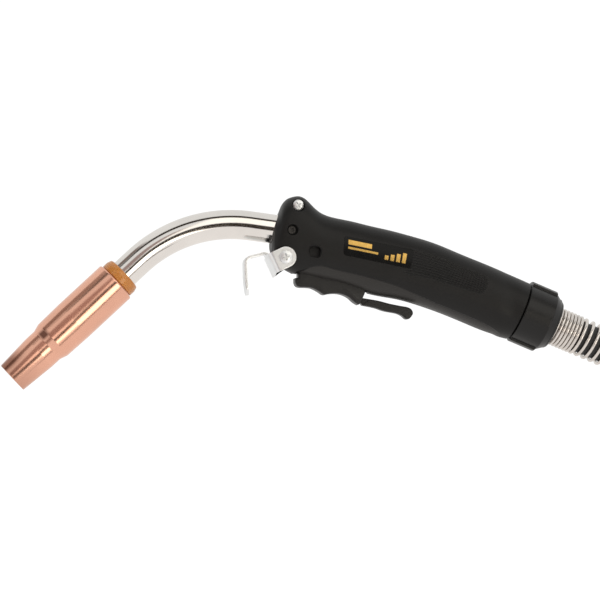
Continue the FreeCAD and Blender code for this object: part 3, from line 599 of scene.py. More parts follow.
def amber_resin():
    g = Surface("amber_resin")
    cloud = g.noise(55, detail=4, rough=0.5)
    fine = g.noise(1500, detail=2, rough=0.5)
    g.set(Base_Color=g.ramp(cloud, [(0.3, (0.50, 0.180, 0.024)), (0.7, (0.60, 0.230, 0.035))]),
          Roughness=g.add(g.mul(cloud, 0.12), 0.26),
          Subsurface_Weight=0.08,
          Subsurface_Radius=(0.0012, 0.0005, 0.0002),
          Coat_Weight=0.35)
    g.bump(fine, strength=0.03, distance=0.00004)
    return g


def crease_mask(g):
    """1 below the handle's crease, fading out towards both its ends; it places the painted light
    of the lower band.
    """
    x_first, x_last = CREASE[0][0], CREASE[-1][0]
    z_full = 80.0      # height that the curve counts as 1
    x, _, z = g.separate(g.coords)
    node = g.new("ShaderNodeFloatCurve")
    curve = node.mapping.curves[0]
    points = [((px - x_first) / (x_last - x_first), pz / z_full) for px, pz in CREASE]
    curve.points[0].location = points[0]
    curve.points[1].location = points[-1]
    for point in points[1:-1]:
        curve.points.new(*point)
    node.mapping.update()
    g.link(g.mul(g.sub(x, x_first / 1000), 1000 / (x_last - x_first)), node.inputs["Value"])
    below = g.sub(g.mul(node.outputs[0], z_full / 1000), z)
    under = g.mul(g.add(below, 0.0001), 1600.0, True)
    behind_start = g.mul(g.sub(x, 0.176), 300.0, True)
    ahead_of_end = g.mul(g.sub(0.3145, x), 250.0, True)
    return g.mul(g.mul(under, behind_start), ahead_of_end)


def plastic(name, base, rough, grain, strength, specular, painted_band_light=None):
    """Moulded nylon with a fine grain; a lighter colour below the handle's crease is painted
    light, standing for the light the lower band catches from below.
    """
    g = Surface(name)
    cloud = g.noise(28, detail=4, rough=0.55)
    fine = g.noise(grain, detail=3, rough=0.6)
    cells = g.new("ShaderNodeTexVoronoi")
    cells.inputs["Scale"].default_value = grain * 1.4
    g.link(g.coords, cells.inputs["Vector"])
    fleck = 0.35       # depth of the tone variation
    tone = g.ramp(cloud, [(0.3, scaled(base, 1 - fleck)), (0.7, scaled(base, 1 + fleck * 0.5))])
    tone = g.mix(g.mul(fine, 0.25), tone, tuple(min(1, c * 1.7 + 0.004) for c in base))
    # painted light: the band below the crease is lightened to stand for light bounced up from
    # below
    if painted_band_light is not None:
        tone = g.mix(crease_mask(g), tone, painted_band_light)
    g.set(Base_Color=tone, Roughness=g.add(g.mul(cloud, 0.14), rough - 0.07),
          Specular_IOR_Level=specular)
    g.bump(g.add(g.mul(cells.outputs["Distance"], 0.6), fine), strength, distance=0.00006)
    return g


def zinc_plate():
    """Bright plating, with painted shade on -Y-facing surfaces far out on the +Y side, standing
    for the shadow on the far ear's inner face.
    """
    g = metal("zinc_plate", (0.93, 0.95, 0.96), rough=0.33, dark=0.86, strength=0.07,
              rough_var=0.10)
    y = g.separate(g.coords)[1]
    normal_y = g.separate(g.new("ShaderNodeNewGeometry").outputs["Normal"])[1]
    far_out = g.mul(g.sub(y, 0.010), 400.0, True)
    far_ear_shade = g.mul(far_out, g.mul(normal_y, -1.4, True))
    # painted shade: the far ear's inner face is darkened to stand for its shadow
    g.set(Base_Color=g.mix(far_ear_shade, g.tone, (0.06, 0.06, 0.062)))
    return g


def cable_rubber():
    """Black rubber with pale bloom and draw marks along the cable."""
    g = Surface("cable_rubber")
    bloom = g.noise(35, detail=5, rough=0.6)
    mapping = g.new("ShaderNodeMapping")
    mapping.inputs["Scale"].default_value = (60, 1400, 1400)
    mapping.inputs["Rotation"].default_value = (0, -CABLE_ANGLE, 0)
    g.link(g.coords, mapping.inputs["Vector"])
    draw = g.noise(1.0, detail=3, rough=0.6, vector=mapping.outputs["Vector"])
    fine = g.noise(1700, detail=3, rough=0.6)
    g.set(Base_Color=g.mix(g.mul(bloom, 0.5), (0.014, 0.014, 0.015), (0.034, 0.033, 0.033)),
          Roughness=g.add(g.mul(draw, 0.22), 0.42))
    g.bump(g.add(draw, g.mul(fine, 0.5)), strength=0.35, distance=0.00008)
    return g


def polymer(name, base, rough, scale=400):
    """Plain matt material; scale sets the size of its mottling."""
    g = Surface(name)
    mottle = g.noise(scale, detail=4, rough=0.55)
    fine = g.noise(scale * 6, detail=2, rough=0.5)
    g.set(Base_Color=g.ramp(mottle, [(0.25, scaled(base, 0.8)), (0.75, base)]),
          Roughness=g.add(g.mul(mottle, 0.15), rough - 0.07))
    g.bump(fine, strength=0.15, distance=0.00004)
    return g


# Gold marks on the label: two bars and a rising scale, as (u0, u1, v0, v1)
LABEL_MARKS = [
    (0.060, 0.400, 0.60, 0.84), (0.060, 0.500, 0.37, 0.48), (0.600, 0.655, 0.20, 0.42),
    (0.685, 0.740, 0.20, 0.52), (0.770, 0.825, 0.20, 0.62), (0.855, 0.910, 0.20, 0.72),
]


def label_film():
    """Black film with scuffed gold marks, laid out on the 'plate' UV map."""
    g = Surface("label_film")
    uv = g.new("ShaderNodeUVMap")
    uv.uv_map = "plate"
    u, v, _ = g.separate(uv.outputs["UV"])
    soft_u = 0.004
    soft_v = soft_u * 3
    marks = None
    for u0, u1, v0, v1 in LABEL_MARKS:
        mark = g.mul(g.band(u, u0 - soft_u, u1 + soft_u, 2 * soft_u),
                     g.band(v, v0 - soft_v, v1 + soft_v, 2 * soft_v))
        marks = mark if marks is None else g.calc("MAXIMUM", marks, mark)
    scuff = g.noise(420, detail=4, rough=0.6)
    marks = g.mul(marks, g.add(g.mul(scuff, 0.5), 0.62, True))
    film = g.mix(g.mul(scuff, 0.5), (0.003, 0.003, 0.003), (0.008, 0.008, 0.008))
    g.set(Base_Color=g.mix(marks, film, (0.80, 0.50, 0.13)),
          Metallic=g.mul(marks, 0.65),
          Roughness=g.add(g.mul(scuff, 0.12), 0.20),
          Specular_IOR_Level=0.16)
    g.bump(scuff, strength=0.08, distance=0.00003)
    return g


SURFACES = {
    "copper": copper_drawn(),
    "tip": metal("tip_copper", (0.84, 0.52, 0.38), rough=0.26, grain_axis=NECK_DIR,
                 grain_scale=4200, dark=0.8),
    "brass": metal("brass_turned", (0.80, 0.62, 0.30), rough=0.28, grain_axis=NECK_DIR,
                   grain_scale=3600, dark=0.8),
    "brass_rear": metal("brass_cast", (0.78, 0.60, 0.30), rough=0.34),
    "copper_soft": metal("copper_soft", (0.82, 0.48, 0.34), rough=0.33, dark=0.7),
    "tube": metal("nickel_polished", (0.83, 0.80, 0.765), rough=0.10, dark=0.90, spots=30,
                  strength=0.05, rough_var=0.05),
    "amber": amber_resin(),
    # the handle's second, lighter colour below the crease is painted light from below
    "handle": plastic("handle_nylon", (0.0058, 0.0055, 0.0051), rough=0.44, grain=1300,
                      strength=0.22, specular=0.29, painted_band_light=(0.0300, 0.0282, 0.0264)),
    "trigger": plastic("trigger_nylon", (0.0120, 0.0113, 0.0107), rough=0.42, grain=1500,
                       strength=0.2, specular=0.36),
    "nut": plastic("nut_nylon", (0.0050, 0.0047, 0.0045), rough=0.34, grain=1500,
                   strength=0.18, specular=0.36),
    "zinc": zinc_plate(),
    "spring": metal("spring_wire", (0.84, 0.79, 0.745), rough=0.20, dark=0.72, spots=90,
                    strength=0.08, rough_var=0.1),
    "steel": metal("steel_plain", (0.58, 0.58, 0.59), rough=0.30, dark=0.7, spots=140),
    "steel_dark": metal("steel_oxide", (0.075, 0.072, 0.070), rough=0.34, dark=0.7,
                        spots=140),
    "alu": metal("aluminium_swaged", (0.78, 0.79, 0.80), rough=0.32, grain_axis=CABLE_DIR,
                 grain_scale=3000),
    "rubber": cable_rubber(),
    "hose": polymer("hose_polymer", (0.72, 0.72, 0.67), rough=0.4),
    "sleeve": polymer("sleeve_glassfibre", (0.74, 0.72, 0.64), rough=0.6, scale=700),
    "switch": polymer("switch_phenolic", (0.035, 0.035, 0.038), rough=0.33),
    "red": polymer("plunger_nylon", (0.55, 0.045, 0.03), rough=0.35),
    "lead_white": polymer("lead_white", (0.70, 0.70, 0.66), rough=0.42),
    "lead_blue": polymer("lead_blue", (0.03, 0.06, 0.34), rough=0.42),
    "label": label_film(),
}
MATS = {key: surface.mat for key, surface in SURFACES.items()}

# ------------------------------------------------------------------ nozzle, insulator, tube
# Profiles: distance along the neck, radius, corner radius
NOZZLE_PROFILE = [
    (-3.2, 8.25, 0.3), (-3.2, 10.6, 0.55), (20.3, 12.15, 6.0), (27.2, 12.15, 1.3),
    (32.2, 13.66, 2.0), (50.5, NOZZLE_R, 0.8), (87.3, NOZZLE_R, 1.3), (87.3, 12.05, 0.3),
    (37.0, 12.05, 1.0), (33.0, 9.2, 1.0), (20.0, 9.2, 2.0), (9.0, 7.95, 2.0),
]
COLLAR_PROFILE = [
    (53.0, 9.0, 0.2), (53.0, 12.0, 0.8), (87.75, 12.0, 0.05), (87.75, 12.45, 0.05),
    (88.1, 12.75, 0.3), (91.8, 12.7, 1.4), (94.8, 11.75, 1.6), (94.8, 9.53, 0.25),
    (76.1, 9.53), (76.1, 9.0),
]
lathe("nozzle_shell", NOZZLE_PROFILE, MATS["copper"], 192, node="nozzle", body="nozzle")
lathe("insulator_collar", COLLAR_PROFILE, MATS["amber"], 160, node="nozzle_insulator")


def tube_path(start, end_x, step):
    """Neck, bend and rear straight; start is along the neck."""
    points = straight(NECK_DIR * start, BEND_IN, step)
    count = int(BEND_R * abs(NECK_ANGLE - REAR_ANGLE) / step)
    for k in range(1, count + 1):
        angle = NECK_ANGLE + (REAR_ANGLE - NECK_ANGLE) * k / count
        points.append(BEND_CENTRE + upright(direction(angle)) * BEND_R)
    return points + straight(BEND_OUT, tube_at(end_x), step)[1:]


pipe("tube_outer", tube_path(start=76.3, end_x=191.0, step=1.6), TUBE_R, 8.3, MATS["tube"],
     segs=128, node="tube_jacket")


# ------------------------------------------------------------------ cable and coil
def cable_jacket():
    """Hollow jacket, a little thicker over its last stretch, with a rounded end."""
    path = straight(cable_at(-58.0), cable_at(158.8), 3.0)
    path += [cable_at(d) for d in (159.4, 159.8, 160.0)]
    radii = np.array([10.2 if (p - CABLE_ORIGIN) @ CABLE_DIR < 119.0 else 10.5 for p in path])
    radii[-3:] = (10.42, 10.22, 9.9)
    pipe("cable_outer", path, radii, 8.4, MATS["rubber"], segs=112, node="cable_jacket")


def cable_strands():
    """Three rings of round-ended copper strands at the cut end, open at the bottom."""
    segs = 10
    verts, faces = [], []
    side = np.cross(CABLE_DIR, Y_DIR)
    side /= np.linalg.norm(side)
    rng = np.random.default_rng(7)
    # ring radius, number of strands, strand radius
    for ring_r, count, r in ((4.75, 19, 0.72), (6.2, 25, 0.74), (7.65, 31, 0.74)):
        for k in range(count):
            w = math.tau * (k + 0.5) / count
            offset = CABLE_UP * math.cos(w) * ring_r + Y_DIR * math.sin(w) * ring_r
            if abs(offset @ Y_DIR) < 3.0 and offset @ CABLE_UP < -5.2:
                continue
            start = cable_at(140.0) + offset
            end = cable_at(161.0 + rng.uniform(-0.25, 0.2)) + offset
            base = len(verts)
            rings = [(start, r), (end - CABLE_DIR * 0.35 * r, r),
                     (end - CABLE_DIR * 0.08 * r, r * 0.75)]
            for centre, radius in rings:
                verts += [centre + (Y_DIR * math.cos(a) + side * math.sin(a)) * radius
                          for a in angles(segs)]
            faces += band_faces(3, segs, base=base, flip=True)
            faces.append(tuple(base + i for i in range(segs)))
            faces.append(tuple(base + 2 * segs + i for i in range(segs))[::-1])
    make("cable_strands", verts, faces, MATS["copper_soft"], node="cable_conductor")


def relief_coil():
    """Wire coil round the cable: close-wound, then opening out over a short blend."""
    coil_r, wire_r = 11.85, 1.12
    close_pitch, open_pitch = 2.42, 5.0
    blend_start, blend_len = 40, 6
    steps = 40          # points to a turn
    points, z, turn = [], 16.65, 0.0
    while z < 116.0:
        opened = min(1, max(0, (z - blend_start) / blend_len))
        pitch = close_pitch + (open_pitch - close_pitch) * opened
        w = math.radians(turn)
        points.append(cable_at(z) + CABLE_UP * (coil_r * math.cos(w))
                      + Y_DIR * (coil_r * math.sin(w)))
        z += pitch / steps
        turn += 360.0 / steps
    radii = np.full(len(points), wire_r)
    radii[-2:] = (1.02, 0.75)
    pipe("relief_coil", points, radii, mat=MATS["spring"], segs=14, node="strain_spring")


cable_jacket()
cable_strands()
relief_coil()

# ------------------------------------------------------------------ rear nut
BARREL_R = 19.7
PAD_R = 21.1                                            # two raised pads on the barrel
PAD_HALF_WIDTH = BARREL_R * math.sin(math.radians(20.0))
PAD_TURN = math.radians(6.0)
# Distance along the cable, radius, corner radius
NUT_PROFILE = [
    (0.7, 15.66), (0.7, BARREL_R, 0.5), (19.3, BARREL_R, 1.0), (23.6, 16.6, 0.6),
    (24.4, 16.3, 0.4), (25.3, 15.5, 0.6), (25.3, 13.2, 0.3), (15.6, 13.2, 0.2),
    (15.6, 15.66, 0.2),
]


def fade(x):
    """1 well below zero, 0 well above."""
    return 1 / (1 + math.exp(min(60.0, x)))


def rear_nut():
    """Barrel and cone with two opposite pads and a small nib on top of the rear collar."""
    loop = rounded_loop(NUT_PROFILE, 5)
    loop = densify(loop + loop[:1], 0.35)[:-1]
    segs = 480
    verts = []
    for a in angles(segs):
        from_pad = (a + PAD_TURN + math.pi / 2) % math.pi - math.pi / 2
        pad = fade((abs(BARREL_R * math.sin(from_pad)) - PAD_HALF_WIDTH) / 0.06)
        out = CABLE_UP * math.cos(a) + Y_DIR * math.sin(a)
        for t, r in loop:
            radius = r
            if r > 16.3:
                ends = fade(-(t - 1.0) / 0.10) * fade((t - 18.9) / 0.10)
                radius = r + (PAD_R - BARREL_R) * pad * ends
            if t > 22.4 and r > 15.8 and math.cos(a) > 0:
                nib = math.exp(-((r * math.sin(a) / 1.3) ** 4))
                radius += 0.9 * nib * math.exp(-(((t - 23.9) / 0.9) ** 4))
            verts.append(cable_at(t) + out * radius)
    make("nut_ribbed", verts, wheel_faces(segs, len(loop)), MATS["nut"], sharp=42,
         node="rear_nut", body="nut")


rear_nut()

# ------------------------------------------------------------------ handle
# Cross sections: top x, z, bottom x, z, half width in Y, superellipse exponent
SECTIONS = np.array([
    (165.0, 95.5, 164.5, 78.3, 12.0, 2.5), (165.7, 98.6, 164.9, 76.2, 13.3, 2.5),
    (167.2, 101.6, 165.8, 74.4, 14.4, 2.45), (168.9, 104.8, 167.0, 72.9, 15.1, 2.4),
    (171.0, 110.0, 169.2, 70.6, 15.8, 2.4), (174.1, 113.9, 172.6, 68.4, 16.3, 2.4),
    (178.0, 115.6, 176.6, 66.2, 16.6, 2.4), (182.4, 116.1, 181.0, 64.3, 16.8, 2.4),
    (186.4, 114.3, 185.6, 63.2, 16.9, 2.4), (190.2, 110.6, 190.2, 62.2, 17.0, 2.4),
    (194.6, 106.6, 194.6, 61.3, 17.1, 2.4), (199.6, 103.9, 199.4, 60.3, 17.2, 2.4),
    (206.6, 102.0, 205.4, 59.2, 17.3, 2.4), (216.0, 100.2, 213.5, 57.0, 17.5, 2.4),
    (227.4, 97.5, 223.1, 53.5, 17.6, 2.4), (240.4, 94.7, 234.4, 50.7, 17.8, 2.4),
    (255.0, 91.0, 246.8, 48.6, 18.0, 2.4), (271.0, 86.3, 260.4, 44.9, 18.2, 2.4),
    (287.6, 79.7, 275.2, 39.8, 18.5, 2.3), (304.4, 73.1, 291.0, 33.5, 18.8, 2.25),
    (320.4, 66.5, 306.2, 27.5, 19.2, 2.15), (334.9, 60.2, 319.6, 23.8, 19.5, 2.1),
])
# The hollow inside, same columns
CAVITY = np.array([
    (191.0, 101.0, 191.0, 66.5, 12.6, 2.4), (194.0, 102.0, 194.0, 64.6, 14.0, 2.4),
    (199.6, 101.1, 199.4, 63.0, 14.6, 2.4), (206.6, 99.3, 205.4, 61.9, 14.7, 2.4),
    (216.0, 97.5, 213.6, 60.3, 14.9, 2.4), (227.4, 94.8, 223.4, 57.4, 15.0, 2.4),
    (240.0, 92.0, 234.9, 54.3, 15.2, 2.4), (254.4, 88.3, 247.5, 51.9, 15.4, 2.4),
    (270.2, 83.7, 261.3, 48.1, 15.6, 2.4), (286.7, 77.2, 276.3, 42.9, 15.9, 2.3),
    (303.5, 70.6, 292.1, 36.6, 16.2, 2.25), (316.8, 64.9, 303.8, 31.8, 16.5, 2.15),
    (326.6, 60.2, 313.4, 28.4, 16.6, 2.1),
])
# Trigger opening and the box that holds the rear spigot, side outlines (x, z)
TRIGGER_SLOT = [(180.4, 45.0), (180.4, 72.8), (191.5, 72.8), (202.0, 66.0), (227.6, 62.5),
                (227.6, 45.0)]
SPIGOT_BOX = [(300, -20), (300, 90), (360, 90), (360, -20)]
SPLIT_Y = -0.02                      # flat face of the near half
PARTING_GROOVE = 0.28
BOSS_FACE_Y = -16.0
BAND_DEPTH = 0.75                    # step below the crease
# Lengthwise ribs; heights are fractions of the section, 0 bottom to 1 top
RIB_COUNT = 10
RIB_X = (253.0, 304.0)
RIB_BOTTOM = (0.385, 0.490)          # at the two ends of RIB_X
RIB_TOP = 0.790

_steps = np.diff(SECTIONS, axis=0)
# Mean distance along the handle at each section
STATIONS = np.concatenate([[0], np.cumsum(0.5 * (
    np.linalg.norm(_steps[:, :2], axis=1) + np.linalg.norm(_steps[:, 2:4], axis=1)))])
CREASE_CURVE = catmull(CREASE, 12)


def spline(x, y, at):
    """Natural cubic spline through the rows of y."""
    n = len(x)
    h = np.diff(x)
    lhs = np.zeros((n, n))
    rhs = np.zeros((n,) + y.shape[1:])
    lhs[0, 0] = lhs[-1, -1] = 1
    for i in range(1, n - 1):
        lhs[i, i - 1], lhs[i, i], lhs[i, i + 1] = h[i - 1], 2 * (h[i - 1] + h[i]), h[i]
        rhs[i] = 6 * ((y[i + 1] - y[i]) / h[i] - (y[i] - y[i - 1]) / h[i - 1])
    curv = np.linalg.solve(lhs, rhs)
    i = np.clip(np.searchsorted(x, at) - 1, 0, n - 2)
    d = (at - x[i])[:, None]
    e = (x[i + 1] - at)[:, None]
    w = h[i][:, None]
    return ((curv[i] * e ** 3 + curv[i + 1] * d ** 3) / (6 * w)
            + (y[i] / w - curv[i] * w / 6) * e + (y[i + 1] / w - curv[i + 1] * w / 6) * d)


def sections_at(distances):
    return spline(STATIONS, SECTIONS, np.asarray(distances, float))


def skin_relief(x, z, height):
    """Inward depth of the surface detail; height is the fraction up the section."""
    crease_z = np.interp(x, CREASE_CURVE[:, 0], CREASE_CURVE[:, 1])
    below = smooth(crease_z - z, -0.1, 0.55) * (1 - smooth(x, 309.0, 315.5))
    below *= smooth(x, 176.0, 180.0)
    x0, x1 = RIB_X
    rib_bottom = RIB_BOTTOM[0] + (RIB_BOTTOM[1] - RIB_BOTTOM[0]) * np.clip(
        (x - x0) / (x1 - x0), 0, 1)
    q = (height - rib_bottom) / (RIB_TOP - rib_bottom)
    bow = (q - 0.5) * 5.0 - 2.2 * (2 * q - 1) ** 2      # slants and bows the panel's ends
    ends = smooth(x - bow, x0, x0 + 1.0) * (1 - smooth(x - bow, x1 - 1.0, x1))
    inside = smooth(q, 0.0, 0.012) * (1 - smooth(q, 0.988, 1.0))
    wave = 0.5 - 0.5 * np.cos(2 * math.pi * RIB_COUNT * q)
    ribs = ends * inside * (0.10 - 0.48 * wave ** 2.2)
    # shallow scallop behind the ribs
    scallop = np.exp(-(((x - 320.0) / 6.0) ** 2)) * np.exp(-(((height - 0.58) / 0.27) ** 2))
    return BAND_DEPTH * below + ribs + 0.95 * scallop


def skin_points(rows, phi, detail):
    """X, Y, Z grids of the near skin; phi runs from bottom to top of each section."""
    top, bottom = rows[:, 0:2], rows[:, 2:4]
    width, power = rows[:, 4:5], rows[:, 5:6]
    centre = (top + bottom) / 2
    up = top - bottom
    half = np.linalg.norm(up, axis=1)[:, None] / 2
    up = up / (2 * half)
    cos, sin = np.cos(phi)[None, :], np.sin(phi)[None, :]
    r = (np.abs(cos / width) ** power + np.abs(sin / half) ** power) ** (-1 / power)
    rise, across = r * sin, r * cos

    def place(rise):
        return centre[:, :1] + up[:, :1] * rise, centre[:, 1:] + up[:, 1:] * rise

    if detail:
        shrink = 1 - skin_relief(*place(rise), (rise / half + 1) / 2) / r
        rise, across = rise * shrink, across * shrink
    x, z = place(rise)
    return x, -across, z


def skin_angles():
    """Angles that space points by height, packed closer over the ribs."""
    row = sections_at([STATIONS[15]])[0]
    half = np.linalg.norm(row[0:2] - row[2:4]) / 2
    width, power = row[4], row[5]
    heights = np.concatenate([np.linspace(0.0, 0.36, 60)[:-1], np.linspace(0.36, 0.81, 120)[:-1],
                              np.linspace(0.81, 1.0, 38)])
    rise = 2 * heights - 1
    y = width * (np.maximum(0, 1 - np.abs(rise) ** power)) ** (1 / power)
    phi = np.arctan2(rise * half, y)
    # near the bottom and top, height says little: space by angle there
    k = np.searchsorted(heights, 0.05)
    phi[:k] = np.linspace(phi[0], phi[k], k + 1)[:k]
    j = np.searchsorted(heights, 0.95)
    phi[j:] = np.linspace(phi[j], math.pi / 2, len(phi) - j)
    return phi


def half_shell(name, rows, phi, side):
    """Closed outer half body, with half of a V groove along the parting line."""
    x, y, z = skin_points(rows, phi, detail=True)
    centre_x, centre_z = (rows[:, 0] + rows[:, 2]) / 2, (rows[:, 1] + rows[:, 3]) / 2
    for edge in (0, -1):
        dx, dz = x[:, edge] - centre_x, z[:, edge] - centre_z
        length = np.hypot(dx, dz)
        x[:, edge] -= dx / length * PARTING_GROOVE
        z[:, edge] -= dz / length * PARTING_GROOVE
        y[:, edge] = SPLIT_Y
    return loft(name, np.stack([x, np.minimum(y, SPLIT_Y) * side, z], 2))


def half_cavity(side):
    """Cutter for the hollow, reaching past the split plane."""
    x, y, z = skin_points(CAVITY, np.linspace(-math.pi / 2, math.pi / 2, 48), detail=False)
    y[:, 0] = y[:, -1] = 1.0
    return loft("cut", np.stack([x, y * side, z], 2))


def recess_cutter(side):
    """Rounded-square recess with a flared mouth."""
    size, flare, power = 3.65, 0.6, 3.2
    tilt = math.radians(-12.0)
    flare_y = -15.9
    x, z = RECESS
    loops = []
    for y, reach in ((-11.2, size), (flare_y, size), (flare_y - flare, size + flare),
                     (-30.0, size + flare)):
        loop = []
        for w in angles(72):
            r = reach * (abs(math.cos(w)) ** power + abs(math.sin(w)) ** power) ** (-1 / power)
            u = w + tilt
            loop.append((x + r * math.cos(u), side * y, z + r * math.sin(u)))
        loops.append(loop)
    return loft("cut", loops)


def handle_rows():
    """Sections of the skin, led by four shrinking ones that round the front edge."""
    distances = np.concatenate([np.linspace(0, 12, 26)[:-1],
                                np.linspace(12, STATIONS[-1], 290)])
    rows = sections_at(distances)
    front = []
    for inset, ahead in ((2.6, 0.75), (1.9, 0.70), (1.15, 0.48), (0.5, 0.2)):
        row = rows[0].copy()
        up = row[0:2] - row[2:4]
        up /= np.linalg.norm(up)
        row[0:2] -= up * inset
        row[2:4] += up * inset
        row[4] -= inset
        row[[0, 2]] -= ahead
        front.append(row)
    return np.vstack([np.array(front), rows])


def near_bores(ob):
    boolean(ob, turned("cut", LOCK_SCREW, [(-30.0, 4.3), (-17.2, 4.3), (-15.6, 2.9),
                                           (-12.9, 2.9), (-12.9, 2.42), (-5.0, 2.42)]))
    boolean(ob, recess_cutter(1))
    boolean(ob, turned("cut", LUG_SCREW, [
        (-25.0, 5.0), (-12.8, 5.0), (-12.0, 4.15), (LUG_HEAD_SEAT_Y, 4.15),
        (LUG_HEAD_SEAT_Y, 2.05), (1.0, 2.05)]))


def far_bores(ob):
    boolean(ob, recess_cutter(-1))
    boolean(ob, outline_cutter(hexagon(LUG_SCREW, 7.1), (LUG_NUT_Y, 25.0)))
    boolean(ob, turned("cut", LUG_SCREW, [(-1.0, 2.05), (25.0, 2.05)]))


def handle_half(name, side, bores, rows, phi):
    """One half; side is 1 for the near half and -1 for its mirror image."""
    ob = half_shell("handle_%s_shell" % name, rows, phi, side)
    cavity = half_cavity(side)
    # solid material stays round the recess
    boolean(cavity, turned("cut", RECESS, [(side * -9.7, 5.4), (side * -18.0, 5.4)]))
    boolean(ob, cavity)
    boss = [(-2.0, 7.0), (BOSS_FACE_Y + 0.5, 7.0), (BOSS_FACE_Y + 0.15, 6.85),
            (BOSS_FACE_Y, 6.4)]
    boolean(ob, turned("cut", HOOK_SCREW, [(side * y, r) for y, r in boss]), "UNION")
    spigot = axis_cutter(cable_at(-6.0), cable_at(13.0), 15.6)
    boolean(spigot, outline_cutter(SPIGOT_BOX, (side * SPLIT_Y, side * -30)), "INTERSECT")
    boolean(ob, spigot, "UNION")
    # tube and cable bores
    boolean(ob, axis_cutter(tube_at(160.0), tube_at(193.5), 9.6))
    boolean(ob, axis_cutter(cable_at(-72.0), cable_at(20.0), 12.05))
    bores(ob)
    boolean(ob, outline_cutter(TRIGGER_SLOT, (side * -6.9, side * 1.0)))
    finish_mesh(ob, MATS["handle"], 42)
    register(ob, "handle_" + name)


HANDLE_ROWS, HANDLE_PHI = handle_rows(), skin_angles()
handle_half("near", 1, near_bores, HANDLE_ROWS, HANDLE_PHI)
handle_half("far", -1, far_bores, HANDLE_ROWS, HANDLE_PHI)


# ------------------------------------------------------------------ label
def skin_depth(xz):
    """Half width of the handle at side-view points, without the surface detail."""
    lo = np.zeros(len(xz))
    hi = np.full(len(xz), STATIONS[-1])
    # bisect for the section line that passes through each point
    for _ in range(40):
        mid = (lo + hi) / 2
        rows = sections_at(mid)
        top, bottom = rows[:, 0:2], rows[:, 2:4]
        cross = ((top[:, 0] - bottom[:, 0]) * (xz[:, 1] - bottom[:, 1])
                 - (top[:, 1] - bottom[:, 1]) * (xz[:, 0] - bottom[:, 0]))
        lo = np.where(cross < 0, mid, lo)
        hi = np.where(cross < 0, hi, mid)
    rows = sections_at((lo + hi) / 2)
    top, bottom = rows[:, 0:2], rows[:, 2:4]
    half = np.linalg.norm(top - bottom, axis=1) / 2
    up = (top - bottom) / (2 * half[:, None])
    rise = np.sum((xz - (top + bottom) / 2) * up, axis=1)
    power = rows[:, 5]
    return rows[:, 4] * np.maximum(0, 1 - np.abs(rise / half) ** power) ** (1 / power)


def label():
    """Thin film on the near side, following the skin, with rounded corners."""
    # corners in side view (x, z)
    top_left, top_right = np.array([210.1, 89.5]), np.array([255.5, 80.8])
    low_right, low_left = np.array([252.9, 68.4]), np.array([209.3, 77.1])
    length, height, corner_r = 46.0, 12.6, 1.6
    cols, rows = 90, 30
    u, v = np.meshgrid(np.linspace(0, 1, cols), np.linspace(0, 1, rows), indexing="ij")
    a, b = u * length, v * height
    for corner_a, corner_b in ((0, 0), (length, 0), (0, height), (length, height)):
        # pull the square corner of the grid onto a quarter circle
        centre_a = length - corner_r if corner_a else corner_r
        centre_b = height - corner_r if corner_b else corner_r
        da, db = a - centre_a, b - centre_b
        inside = (da * (corner_a - centre_a) > 0) & (db * (corner_b - centre_b) > 0)
        pull = np.maximum(np.abs(da), np.abs(db)) / (np.hypot(da, db) + 1e-9)
        k = np.where(inside, pull, 1.0)
        a, b = centre_a + da * k, centre_b + db * k
    u, v = (a / length)[..., None], (b / height)[..., None]
    points = ((low_left * (1 - u) + low_right * u) * (1 - v)
              + (top_left * (1 - u) + top_right * u) * v).reshape(-1, 2)
    depth = skin_depth(points)
    top = [(x, -(y + 0.34), z) for (x, z), y in zip(points, depth)]
    bottom = [(x, -(y - 0.25), z) for (x, z), y in zip(points, depth)]
    ob = make("label_film", *sheet(top, bottom, cols, rows), MATS["label"],
              node="label_plate")
    layer = ob.data.uv_layers.new(name="plate")
    # both faces of the film share the same coordinates
    uvs = np.tile(np.concatenate([u, v], axis=2).reshape(-1, 2), (2, 1))
    for loop in ob.data.loops:
        layer.data[loop.index].uv = uvs[loop.vertex_index]


label()

# ------------------------------------------------------------------ trigger and lever
# Side outlines (x, z); the trigger's upper side also has corner radii
TRIGGER_LOWER = [
    (179.3, 61.8), (179.4, 59.6), (180.4, 57.6), (182.6, 56.7), (186.3, 56.6),
    (190.2, 56.2), (194.5, 54.2), (198.1, 52.0), (201.6, 52.5), (205.9, 52.8),
    (210.1, 52.2), (214.4, 50.3), (217.9, 47.3), (220.8, 45.5),
]
TRIGGER_UPPER = [
    (222.1, 46.3, 0.4), (225.3, 53.8, 0.5), (225.6, 57.6, 0.6), (224.4, 58.6, 0.5),
    (191.5, 66.0, 1.0), (190.6, 71.0, 1.5), (188.4, 72.0, 1.5), (183.6, 72.0, 1.5),
    (181.4, 70.4, 1.0), (181.4, 62.6, 0.2), (179.3, 62.6, 0.3),
]
LEVER_CURVE = [
    (223.6, 45.2), (231.7, 43.6), (238.4, 41.5), (246.0, 40.1), (249.6, 38.6),
    (252.4, 36.4), (254.8, 36.8), (257.0, 40.0), (255.7, 43.0), (252.8, 44.3),
    (250.3, 44.7), (242.3, 46.2), (234.3, 48.2), (228.0, 49.3),
]
LEVER_FRONT = [(223.6, 50.0), (222.4, 47.2)]


def trigger():
    lower = catmull(TRIGGER_LOWER, 6)
    # the first and last points only steer the corners
    upper = rounded_loop([lower[-1], *TRIGGER_UPPER, lower[0]], 4)[1:-1]
    ob = soft_prism("trigger_body", np.vstack([lower, upper]), (-6.5, 6.5), edge_r=1.3,
                    layers=6)
    boolean(ob, turned("cut", TRIGGER_PIN, [(-20.0, 1.55), (20.0, 1.55)]))
    finish_mesh(ob, MATS["trigger"], 40)
    register(ob, "trigger", "trigger")


trigger()
soft_prism("trigger_tail", np.vstack([catmull(LEVER_CURVE, 8), LEVER_FRONT]), (-4.2, 4.2),
           edge_r=1.05, layers=6, mat=MATS["trigger"], node="trigger_lever", body="trigger")

